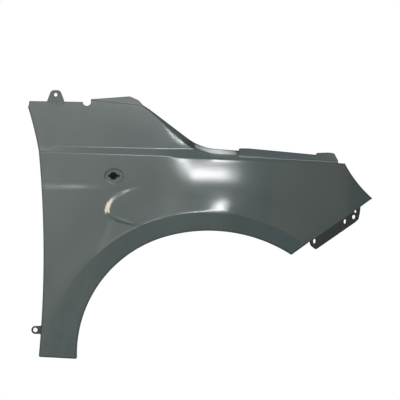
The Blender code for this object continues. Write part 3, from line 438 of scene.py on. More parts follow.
class FenderForm(bpy.types.PropertyGroup):
    """Sizes of the pressed forms."""
    plan_depth: bpy.props.FloatProperty(
        name="Plan Depth", description="How far the front end turns inboard",
        default=0.166, min=0.05, max=0.25, subtype="DISTANCE", unit="LENGTH")
    waist_step: bpy.props.FloatProperty(
        name="Waist Step", description="Depth between the two waist creases at the door",
        default=0.0034, min=0.0, max=0.010, subtype="DISTANCE", unit="LENGTH")
    shoulder_step: bpy.props.FloatProperty(
        name="Shoulder Step", description="Depth of the same step above the wheel",
        default=0.0100, min=0.0, max=0.020, subtype="DISTANCE", unit="LENGTH")
    crease: bpy.props.FloatProperty(
        name="Crease Softness", description="Half the width over which a waist crease bends",
        default=0.0022, min=0.0008, max=0.010, subtype="DISTANCE", unit="LENGTH")
    flare_crease: bpy.props.FloatProperty(
        name="Flare Crease Softness",
        description="Half the width over which the flare's crease bends",
        default=0.0014, min=0.0008, max=0.010, subtype="DISTANCE", unit="LENGTH")
    crown_tilt: bpy.props.FloatProperty(
        name="Crown Tilt", description="Slope of the crown right under the shoulder crease",
        default=0.113, min=0.0, max=0.3)
    flare_tilt: bpy.props.FloatProperty(
        name="Flare Tilt", description="Slope of the body where it meets the flare's crease",
        default=0.040, min=0.0, max=0.3)
    bulge_rise: bpy.props.FloatProperty(
        name="Flare End Rise", description="How far the flare's rounded end stands proud",
        default=0.0020, min=0.0, max=0.005, subtype="DISTANCE", unit="LENGTH")
    door_line_step: bpy.props.FloatProperty(
        name="Door Line Step", description="Depth of the soft line that runs in from the door",
        default=0.0012, min=0.0, max=0.005, subtype="DISTANCE", unit="LENGTH")


class FenderFinish(bpy.types.PropertyGroup):
    """Colours and gloss of the finishes."""
    primer: bpy.props.FloatVectorProperty(
        name="Panel Primer", description="Colour of the grey-green primer on the panel",
        subtype="COLOR", size=3, min=0.0, max=1.0, default=(0.090, 0.124, 0.124))
    bracket: bpy.props.FloatVectorProperty(
        name="Bracket Primer", description="Colour of the bluer primer on the upper bracket",
        subtype="COLOR", size=3, min=0.0, max=1.0, default=(0.086, 0.113, 0.126))
    rubber: bpy.props.FloatVectorProperty(
        name="Plug Rubber", description="Colour of the plug in the lamp hole",
        subtype="COLOR", size=3, min=0.0, max=1.0, default=(0.006, 0.008, 0.009))
    roughness: bpy.props.FloatProperty(
        name="Primer Roughness", description="Roughness of the primer under its gloss",
        default=0.42, min=0.05, max=1.0, subtype="FACTOR")
    gloss: bpy.props.FloatProperty(
        name="Gloss", description="Strength of the smooth top of the primer",
        default=1.0, min=0.0, max=1.0, subtype="FACTOR")
    gloss_roughness: bpy.props.FloatProperty(
        name="Gloss Roughness", description="Roughness of the smooth top of the primer",
        default=0.14, min=0.0, max=0.5, subtype="FACTOR")


class FenderStage(bpy.types.PropertyGroup):
    """The floor, the backdrop and the lamps."""
    floor: bpy.props.FloatVectorProperty(
        name="Floor", description="Colour of the floor",
        subtype="COLOR", size=3, min=0.0, max=1.0, default=(0.80, 0.80, 0.80))
    floor_drop: bpy.props.FloatProperty(
        name="Floor Drop", description="How far the floor lies below the hung panel",
        default=0.80, min=0.0, max=2.0, subtype="DISTANCE", unit="LENGTH")
    floor_reach: bpy.props.FloatProperty(
        name="Floor Reach", description="How far the floor runs out in front of the panel",
        default=1.3, min=1.0, max=10.0, subtype="DISTANCE", unit="LENGTH")
    wall_distance: bpy.props.FloatProperty(
        name="Backdrop Distance", description="How far the backdrop stands behind the panel",
        default=2.2, min=0.5, max=10.0, subtype="DISTANCE", unit="LENGTH")
    wall_top: bpy.props.FloatProperty(
        name="Backdrop Top", description="How far the backdrop rises above the part's origin",
        default=5.8, min=0.5, max=10.0, subtype="DISTANCE", unit="LENGTH")
    ambient: bpy.props.FloatProperty(
        name="Ambient Light", description="Strength of the light from all round",
        default=0.0, min=0.0, max=2.0)
    lamp_distance: bpy.props.FloatProperty(
        name="Lamp Distance", description="Distance of the lamps from the middle of the panel",
        default=7.0, min=2.0, max=20.0, subtype="DISTANCE", unit="LENGTH")


def smooth_step(value):
    """Ease from 0 to 1 as value goes from 0 to 1."""
    t = np.clip(value, 0.0, 1.0)
    return t * t * (3.0 - 2.0 * t)


def soft_positive(value, half_width):
    """Value where it is positive and 0 elsewhere, with the corner rounded over half_width."""
    inside_corner = np.clip(value + half_width, 0.0, 2.0 * half_width)
    return np.where(value > half_width, value, inside_corner ** 2 / (4.0 * half_width))


def soft_ramp(value, length, half_width):
    """A ramp from 0 to 1 along a length, with both of its corners rounded."""
    rise = soft_positive(value, half_width) - soft_positive(value - length, half_width)
    return rise / length


def curl_rise(above, reach, tilt):
    """How far a surface has curled out when its slope grows from 0 at reach to tilt at 0."""
    return tilt * reach / 3.0 * np.clip(1.0 - above / reach, 0.0, 1.0) ** 3


def round_rise(above, reach, tilt):
    """The same for a slope that holds near 0 and then falls away faster towards reach."""
    share = np.clip(above / reach, 0.0, 1.0)
    return tilt * reach * (2.0 / 3.0 - share + share ** 3 / 3.0)


def turned(vector, angle):
    """A flat vector turned by an angle."""
    cos, sin = math.cos(angle), math.sin(angle)
    return np.array((cos * vector[0] - sin * vector[1], sin * vector[0] + cos * vector[1]))


def corner_arc(before, corner, after, radius, step):
    """The arc that rounds a corner, and how far from the corner it starts."""
    corner = np.array(corner)
    back = np.array(before) - corner
    ahead = np.array(after) - corner
    back = back / np.linalg.norm(back)
    ahead = ahead / np.linalg.norm(ahead)
    half_angle = math.acos(np.clip(back @ ahead, -1.0, 1.0)) / 2.0
    reach = radius / math.tan(half_angle)
    bisector = (back + ahead) / np.linalg.norm(back + ahead)
    centre = corner + bisector * radius / math.sin(half_angle)
    first = corner + back * reach - centre
    way = first[1] * back[0] - first[0] * back[1]
    sweep = math.copysign(math.pi - 2.0 * half_angle, way)
    count = max(3, math.ceil(abs(sweep) * radius / step))
    return [centre + turned(first, sweep * i / count) for i in range(count + 1)], reach


def divided(points, step):
    """Split the long runs between points so that no run is longer than about one step."""
    result = [points[0]]
    for start, end in zip(points, points[1:]):
        length = np.linalg.norm(end - start)
        if length < SHORTEST_EDGE:
            continue
        count = max(1, round(length / step))
        result.extend(start + (end - start) * i / count for i in range(1, count + 1))
    return np.array(result)


def filleted(corners, step):
    """Points along straight runs joined by arcs; each corner is (x, z, radius)."""
    points = [np.array(corners[0][:2])]
    for before, corner, after in zip(corners, corners[1:], corners[2:]):
        if corner[2] == 0.0:
            points.append(np.array(corner[:2]))
        else:
            points.extend(corner_arc(before[:2], corner[:2], after[:2], corner[2], step)[0])
    points.append(np.array(corners[-1][:2]))
    return divided(points, step)


def sagged(start, end, sag, step):
    """Points from start to end on a flat arc that bows to the right of its run by sag."""
    start, end = np.array(start), np.array(end)
    run = end - start
    length = np.linalg.norm(run)
    side = np.array((run[1], -run[0])) / length
    count = max(2, round(length / step))
    t = np.linspace(0.0, 1.0, count + 1)[:, None]
    return start + run * t + side * (4.0 * sag * t * (1.0 - t))


def arc(centre_x, centre_z, radius, start_angle, end_angle, step):
    """Points on an arc between two angles in degrees."""
    length = abs(math.radians(end_angle - start_angle)) * radius
    angles = np.radians(np.linspace(start_angle, end_angle, max(2, round(length / step)) + 1))
    return np.column_stack((centre_x + radius * np.cos(angles), centre_z + radius * np.sin(angles)))


def ellipse(centre_x, centre_z, half_x, half_z, count):
    """Points round an ellipse."""
    angles = np.radians(np.arange(count) * 360.0 / count)
    return np.column_stack((centre_x + half_x * np.cos(angles), centre_z + half_z * np.sin(angles)))


def circle(centre_x, centre_z, radius, count):
    """Points round a circle."""
    return ellipse(centre_x, centre_z, radius, radius, count)


SKIN_EDGE_LINE = filleted(SKIN_EDGE, SKIN_EDGE_SPACING)
FLANGE_RIM_LINE = filleted(FLANGE_RIM, FLANGE_RIM_SPACING)


def skin_edge_z(x):
    """Height of the painted upper edge."""
    return np.interp(x, SKIN_EDGE_LINE[:, 0], SKIN_EDGE_LINE[:, 1])


def waist_low_z(x):
    """Height of the lower waist crease, which becomes the shoulder crease above the arch."""
    rear = WAIST_LOW_Z - WAIST_LOW_FALL * (x - WAIST_START_X)
    return rear - WAIST_JOG * smooth_step((x - WAIST_JOG_X) / WAIST_JOG_WIDTH)


def waist_top_z(x):
    """Height of the upper waist crease."""
    return WAIST_TOP_Z - WAIST_TOP_FALL * (x - WAIST_START_X)


def bumper_run():
    """Start, direction, outward side and length of the bumper flange's root line."""
    start = np.array(BUMPER_ROOT_REAR)
    run = np.array(BUMPER_ROOT_FRONT) - start
    length = np.linalg.norm(run)
    run /= length
    return start, run, np.array((run[1], -run[0])), length


def flange_section(x):
    """Depth of the step at the painted upper edge, and the slope of the flange beyond it."""
    to_gutter = smooth_step((x - TOP_FLANGE_END_X) / SECTION_BLEND)
    to_hood = smooth_step((x - HOOD_FLANGE_START_X) / SECTION_BLEND)
    step = TOP_STEP_DEPTH + (GUTTER_STEP_DEPTH - TOP_STEP_DEPTH) * to_gutter
    step = step + (HOOD_STEP_DEPTH - GUTTER_STEP_DEPTH) * to_hood
    slope = TOP_FLANGE_SLOPE + (GUTTER_SLOPE - TOP_FLANGE_SLOPE) * to_gutter
    return step, slope + (HOOD_FLANGE_SLOPE - GUTTER_SLOPE) * to_hood


def step_arcs(step):
    """Height and depth of each arc of the step, and the height of the straight wall between."""
    reach = STEP_RADIUS * math.sin(STEP_ANGLE)
    drop = STEP_RADIUS * (1.0 - math.cos(STEP_ANGLE))
    return reach, drop, np.clip(step - 2.0 * drop, 0.0, None) / math.tan(STEP_ANGLE)


def upper_flange_depth(x, z):
    """Extra depth of the flange beyond the painted upper edge: a rolled step, then a slope."""
    height = np.clip(z - skin_edge_z(x), 0.0, None)
    step, slope = flange_section(x)
    reach, drop, run = step_arcs(step)
    total = 2.0 * reach + run
    leaving = STEP_RADIUS - np.sqrt(STEP_RADIUS ** 2 - np.clip(height, 0.0, reach) ** 2)
    meeting = STEP_RADIUS - np.sqrt(STEP_RADIUS ** 2 - np.clip(total - height, 0.0, reach) ** 2)
    wall = np.clip(height - reach, 0.0, run) * math.tan(STEP_ANGLE)
    beyond = np.where(height > reach + run, drop - meeting, 0.0)
    return leaving + wall + beyond + slope * np.clip(height - total, 0.0, None)


class FenderSurface:
    """The painted surface as a depth over the side view, made from the form settings."""

    def __init__(self, form):
        self.form = form

    def plan(self, x):
        """How far the body side has turned inboard."""
        forward = np.clip((x - PLAN_START_X) / PLAN_LENGTH, 0.0, None)
        return self.form.plan_depth * forward ** PLAN_POWER

    def flare(self, x, z):
        """The curl of the body out to the flare's crease, and the band below that crease."""
        away_x, away_z = x - FLARE_X, z - FLARE_Z
        above = np.hypot(away_x, away_z) - FLARE_RADIUS
        angle = np.degrees(np.arctan2(away_z, away_x))
        rear = smooth_step((angle - FLARE_REAR_ANGLE) / (2.0 * FLARE_FADE_ANGLE))
        front = smooth_step((FLARE_FRONT_ANGLE - angle) / FLARE_FADE_ANGLE)
        blob = 1.0 - smooth_step(np.abs(angle - FLARE_BLOB_ANGLE) / FLARE_BLOB_HALF_ANGLE)
        curl = round_rise(above, FLARE_REACH, self.form.flare_tilt + FLARE_BLOB_TILT * blob)
        curl = curl + curl_rise(above, FLARE_LIP_REACH, FLARE_LIP_TILT) * (1.0 - rear)
        softness = self.form.flare_crease + FLARE_REAR_SOFTNESS * rear
        turn = FLARE_BAND_TILT * soft_positive(-above, softness)
        return (1.0 - rear * FLARE_REAR_LOSS) * (1.0 - front) * (turn - curl)

    def crown(self, x, z):
        """The full shoulder above the wheel, under the shoulder crease."""
        below = np.clip(waist_low_z(x) - z, 0.0, None)
        full = round_rise(0.0, CROWN_HEIGHT, self.form.crown_tilt)
        rise = full - round_rise(below, CROWN_HEIGHT, self.form.crown_tilt)
        dip = curl_rise(below, CROWN_DIP_REACH, CROWN_DIP_TILT)
        dip = dip * smooth_step((x - CROWN_DIP_X) / CROWN_DIP_WIDTH + 0.5)
        grown = smooth_step((x - CROWN_START_X) / (CROWN_FULL_X - CROWN_START_X))
        return -(rise + dip) * grown * (1.0 - smooth_step((x - CROWN_END_X) / CROWN_FADE))

    def bulge(self, x, z):
        """The rounded end of the flare behind the arch, which fades forward."""
        height = np.where(z > BULGE_Z, BULGE_UPPER_HEIGHT, BULGE_LOWER_HEIGHT)
        reach = np.hypot((x - BULGE_X) / BULGE_HALF_LENGTH, (z - BULGE_Z) / height)
        standing = 1.0 - smooth_step((reach - 1.0) / (2.0 * BULGE_EDGE_SHARE) + 0.5)
        fade = 1.0 - smooth_step(np.hypot(x - BULGE_FADE_X, z - BULGE_Z) / BULGE_FADE_REACH)
        return -self.form.bulge_rise * standing * fade

    def ridge(self, x, z):
        """The short ridge that carries the flare's crease on behind the arch."""
        start = np.array(RIDGE_REAR)
        run = np.array(RIDGE_FRONT) - start
        length = np.linalg.norm(run)
        run /= length
        along = (x - start[0]) * run[0] + (z - start[1]) * run[1]
        above = (z - start[1]) * run[0] - (x - start[0]) * run[1]
        end = 1.0 - smooth_step((along - length) / RIDGE_FADE + 1.0)
        fade = smooth_step(along / RIDGE_FADE) * end
        return -curl_rise(above, RIDGE_REACH, RIDGE_TILT) * fade

    def roll(self, x, z):
        """The panel rolls inboard towards the cowl slope."""
        strength = 1.0 - smooth_step(np.abs(x - ROLL_X) / ROLL_HALF_LENGTH)
        return strength * curl_rise(skin_edge_z(x) - z, ROLL_REACH, ROLL_TILT)

    def waist(self, x, z):
        """The step between the two waist creases."""
        forward = smooth_step((x - SHOULDER_START_X) / (SHOULDER_FULL_X - SHOULDER_START_X))
        step = self.form.waist_step + (self.form.shoulder_step - self.form.waist_step) * forward
        low = waist_low_z(x)
        return step * soft_ramp(z - low, waist_top_z(x) - low, self.form.crease)

    def door_line(self, x, z):
        """The soft line that continues the door's character line and fades towards the lamp."""
        fade = 1.0 - smooth_step((x - DOOR_LINE_END_X + DOOR_LINE_FADE) / DOOR_LINE_FADE)
        across = smooth_step((z - DOOR_LINE_Z) / (2.0 * DOOR_LINE_HALF_WIDTH) + 0.5)
        return self.form.door_line_step * fade * (across - 0.5)

    def lamp_seat(self, x, z):
        """The shallow oval seat for the side lamp."""
        reach = np.hypot((x - LAMP_SEAT_X) / LAMP_SEAT_HALF_LENGTH,
                         (z - LAMP_SEAT_Z) / LAMP_SEAT_HALF_HEIGHT)
        return LAMP_SEAT_DEPTH * smooth_step((LAMP_SEAT_OUTER - reach) / LAMP_SEAT_WALL)

    def skin(self, x, z):
        """Depth of the painted side."""
        side = (z - SIDE_FLAT_Z) ** 2 / (2.0 * SIDE_RADIUS)
        forms = self.waist(x, z) + self.crown(x, z) + self.flare(x, z) + self.bulge(x, z)
        lines = self.ridge(x, z) + self.roll(x, z) + self.door_line(x, z)
        return self.plan(x) + side + forms + lines + self.lamp_seat(x, z)

    def depth(self, x, z):
        """Depth of the whole sheet, with the flanges that show beyond the painted edges."""
        x, z = np.asarray(x, dtype=float), np.asarray(z, dtype=float)
        start, run, side, length = bumper_run()
        along = (x - start[0]) * run[0] + (z - start[1]) * run[1]
        out = (x - start[0]) * side[0] + (z - start[1]) * side[1]
        on_bumper = (out > 0.0) & (along > -BUMPER_END_REACH) & (along < length + BUMPER_END_REACH)
        out = np.where(on_bumper, out, 0.0)
        in_span = (x > SKIN_EDGE[0][0]) & (x < SKIN_EDGE[-1][0])
        edge = np.where(in_span, np.minimum(z, skin_edge_z(x)), z)
        base = self.skin(x - side[0] * out, edge - side[1] * out)
        upper = np.where(in_span, upper_flange_depth(x, z), 0.0)
        return base + upper + BUMPER_SLOPE * out

    def bracket_plane(self, sheet):
        """Depth of the upper bracket's flat tab on the side that faces the panel."""
        edge = float(self.depth(UPPER_HOLE_X, TOP_REAR[1]))
        return edge + sheet.thickness + WELD_GAP + UPPER_JOGGLE

    def origin(self, sheet):
        """The row frame's origin in the panel's own frame: the seat of the upper bracket."""
        seat_y = self.bracket_plane(sheet) + sheet.bracket_thickness
        return np.array((UPPER_HOLE_X, seat_y, UPPER_HOLE_Z - UPPER_SEAT_DROP))


def arch_rear_centre():
    """Centre of the rear arc, which is tangent to the front arc where they join."""
    join = math.radians(ARCH_JOIN_ANGLE)
    shift = ARCH_FRONT_RADIUS - ARCH_REAR_RADIUS
    return ARCH_FRONT_X + shift * math.cos(join), ARCH_FRONT_Z + shift * math.sin(join)


def arch_line(step):
    """The wheel opening from the nose round to the foot."""
    rear_x, rear_z = arch_rear_centre()
    foot_angle = 180.0 + math.degrees(math.asin((rear_z - FOOT_FRONT_Z) / ARCH_REAR_RADIUS))
    front = arc(ARCH_FRONT_X, ARCH_FRONT_Z, ARCH_FRONT_RADIUS, NOSE_ANGLE, ARCH_JOIN_ANGLE, step)
    rear = arc(rear_x, rear_z, ARCH_REAR_RADIUS, ARCH_JOIN_ANGLE, foot_angle, step)
    return np.vstack((front, rear[1:]))


def rounded(stations):
    """Replace each station that has a corner radius with an arc, and drop what the arc covers."""
    count = len(stations)
    arcs, dropped = {}, set()
    for index, (point, _lip, radius) in enumerate(stations):
        if radius == 0.0:
            continue
        before, after = stations[index - CORNER_AIM][0], stations[(index + CORNER_AIM) % count][0]
        arcs[index], reach = corner_arc(before, point, after, radius, radius / CORNER_ARC_STEPS)
        for way in (-1, 1):
            other = (index + way) % count
            while np.linalg.norm(stations[other][0] - point) < reach * CORNER_CLEARANCE:
                dropped.add(other)
                other = (other + way) % count
    points, lips = [], []
    for index, (point, lip, _radius) in enumerate(stations):
        if index not in dropped:
            run = arcs.get(index, [point])
            points.extend(run)
            lips.extend([lip] * len(run))
    return np.array(points), np.array(lips)


def panel_outline(step):
    """The silhouette, clockwise from the notch, and the depth of the lip at each point."""
    arch = arch_line(step)
    notch = arc(*NOTCH_CENTRE, NOTCH_RADIUS, 180.0, 360.0, step / NOTCH_FINENESS)
    bumper = filleted(((*BUMPER_ROOT_FRONT, 0.0), *BUMPER_RIM, (*BUMPER_ROOT_REAR, 0.0)), step)
    corner = SMALL_CORNER_RADIUS
    sections = (
        (notch, 0.0, 0.0),
        (SKIN_EDGE_LINE[:1], 0.0, 0.0),
        (filleted(FLANGE_RIM, step), 0.0, 0.0),
        (SKIN_EDGE_LINE[-1:], 0.0, 0.0),
        (np.array((LAMP_TOP,)), LAMP_LIP, corner),
        (sagged(LAMP_TOP, LAMP_TIP, LAMP_SAG, step)[1:-1], LAMP_LIP, 0.0),
        (np.array((LAMP_TIP,)), LAMP_LIP, corner),
        (bumper, 0.0, 0.0),
        (divided([np.array(BUMPER_ROOT_REAR), arch[0]], step)[1:-1], NOSE_LIP, 0.0),
        (arch[:1], NOSE_LIP, NOSE_CORNER_RADIUS),
        (arch[1:-1], ARCH_LIP, 0.0),
        (arch[-1:], ARCH_LIP, NOSE_CORNER_RADIUS),
        (divided([arch[-1], np.array(FOOT_REAR)], step)[1:-1], FOOT_LIP, 0.0),
        (np.array((FOOT_REAR,)), DOOR_LIP, NOSE_CORNER_RADIUS),
        (sagged(FOOT_REAR, DOOR_KINK, DOOR_SAG, step)[1:], DOOR_LIP, 0.0),
        (sagged(DOOR_KINK, DOOR_TOP, PILLAR_SAG, step)[1:], DOOR_LIP, 0.0),
        (divided([np.array(TOP_REAR), notch[0]], step)[:-1], 0.0, 0.0),
    )
    stations = [(point, lip, radius) for points, lip, radius in sections for point in points]
    return rounded(stations)


def lip_holes():
    """Place, half length and lip depth of each clip hole and of the foot's screw slot."""
    rear_centre = arch_rear_centre()
    for angle in ARCH_HOLE_ANGLES:
        front = angle < ARCH_JOIN_ANGLE
        centre = (ARCH_FRONT_X, ARCH_FRONT_Z) if front else rear_centre
        radius = ARCH_FRONT_RADIUS if front else ARCH_REAR_RADIUS
        through = np.array((math.cos(math.radians(angle)), math.sin(math.radians(angle))))
        yield np.array(centre) + through * radius, LIP_HOLE_RADIUS, ARCH_LIP
    foot_front = arch_line(DOOR_LIP)[-1]
    yield (foot_front + np.array(FOOT_REAR)) / 2.0, FOOT_SLOT_HALF_LENGTH, FOOT_LIP


def lamp_hole(inset=0.0, count=LAMP_HOLE_STEPS):
    """The keyed hole in the side lamp seat: a circle with a lug at each side."""
    radius, half_height = LAMP_HOLE_RADIUS - inset, LAMP_LUG_HALF_HEIGHT - inset
    lug_angle = math.degrees(math.asin(half_height / radius))
    points = []
    for middle, reach in ((0.0, LAMP_FRONT_LUG - inset), (180.0, LAMP_REAR_LUG - inset)):
        side = 1.0 if middle == 0.0 else -1.0
        edge_x = LAMP_HOLE_X + side * reach
        points.append((edge_x, LAMP_HOLE_Z - side * half_height))
        points.append((edge_x, LAMP_HOLE_Z + side * half_height))
        curve = arc(LAMP_HOLE_X, LAMP_HOLE_Z, radius, middle + lug_angle,
                    middle + 180.0 - lug_angle, radius * math.pi / count)
        points.extend(tuple(p) for p in curve)
    return np.array(points)


def feature_rows(form, step):
    """Rows of points that follow the creases, the flare, the lamp seat and the folds."""
    rows = []
    rim_x = np.arange(SKIN_EDGE[0][0], SKIN_EDGE[-1][0], step)
    rim_z = np.interp(rim_x, FLANGE_RIM_LINE[:, 0], FLANGE_RIM_LINE[:, 1])
    edge_z = skin_edge_z(rim_x)
    reach, _drop, run = step_arcs(flange_section(rim_x)[0])
    for reaches, runs in STEP_ROWS:
        row_z = edge_z + reaches * reach + runs * run
        rows.append(np.column_stack((rim_x, row_z))[row_z < rim_z - reach / 2.0])
    along = np.arange(WAIST_START_X, SKIN_EDGE[-1][0], step)
    for line in (waist_top_z(along), waist_low_z(along)):
        for share in WAIST_ROWS:
            row = np.column_stack((along, line + form.crease * share))
            rows.append(row[row[:, 1] < skin_edge_z(along) - 2.0 * STEP_RADIUS])
    for share in FLARE_ROWS:
        radius = FLARE_RADIUS + form.flare_crease * share
        rows.append(arc(FLARE_X, FLARE_Z, radius, *FLARE_ROW_ANGLES, step))
    for share in LAMP_SEAT_ROWS:
        rows.append(ellipse(LAMP_SEAT_X, LAMP_SEAT_Z, LAMP_SEAT_HALF_LENGTH * share,
                            LAMP_SEAT_HALF_HEIGHT * share, OVAL_POINTS))
    start, run, side, length = bumper_run()
    along = np.linspace(0.0, length, round(length / step))[:, None]
    for out in BUMPER_ROWS:
        rows.append(start + run * along + side * out)
    return rows


def outward(loop):
    """Unit normals of a clockwise loop, pointing out of it."""
    tangent = np.roll(loop, -1, axis=0) - np.roll(loop, 1, axis=0)
    normal = np.column_stack((-tangent[:, 1], tangent[:, 0]))
    return normal / np.linalg.norm(normal, axis=1)[:, None]


def inside(points, loop):
    """Which points lie inside a closed loop."""
    result = np.zeros(len(points), dtype=bool)
    for (x1, z1), (x2, z2) in zip(loop, np.roll(loop, -1, axis=0)):
        crosses = (z1 > points[:, 1]) != (z2 > points[:, 1])
        if z1 != z2:
            at_x = x1 + (points[:, 1] - z1) * (x2 - x1) / (z2 - z1)
            result ^= crosses & (points[:, 0] < at_x)
    return result


def staggered_grid(low, high, spacing):
    """Points at the corners of even triangles that fill a box."""
    across = np.arange(low[0], high[0], spacing)
    rows = np.arange(low[1], high[1], spacing * math.sqrt(3.0) / 2.0)
    return np.array([(x + spacing * 0.5 * (i % 2), z) for i, z in enumerate(rows) for x in across])


def distances(points, others):
    """Distance from each flat point to the nearest of the others."""
    tree = KDTree(len(others))
    for index, (x, z) in enumerate(others):
        tree.insert((x, z, 0.0), index)
    tree.balance()
    return np.array([tree.find((x, z, 0.0))[2] for x, z in points])


def triangulated(rings, rows=(), extra=()):
    """Fill the first ring, less the rings after it, with triangles that keep to the rows."""
    points, loops, links, total = [], [], [], 0
    for ring in rings:
        loops.append(list(range(total, total + len(ring))))
        points.append(ring)
        total += len(ring)
    for row, kept in rows:
        number = total - 1 + np.cumsum(kept)
        pairs = zip(number, number[1:], kept, kept[1:])
        links.extend((int(a), int(b)) for a, b, here, there in pairs if here and there)
        points.append(row[kept])
        total += int(kept.sum())
    if len(extra):
        points.append(extra)
    flat, _edges, faces, origins, _, _ = delaunay_2d_cdt(
        [Vector(p) for p in np.vstack(points)], links, loops, 2, MERGE_DISTANCE)
    place = {source: index for index, sources in enumerate(origins) for source in sources}
    return np.array([tuple(p) for p in flat]), [tuple(face) for face in faces], place


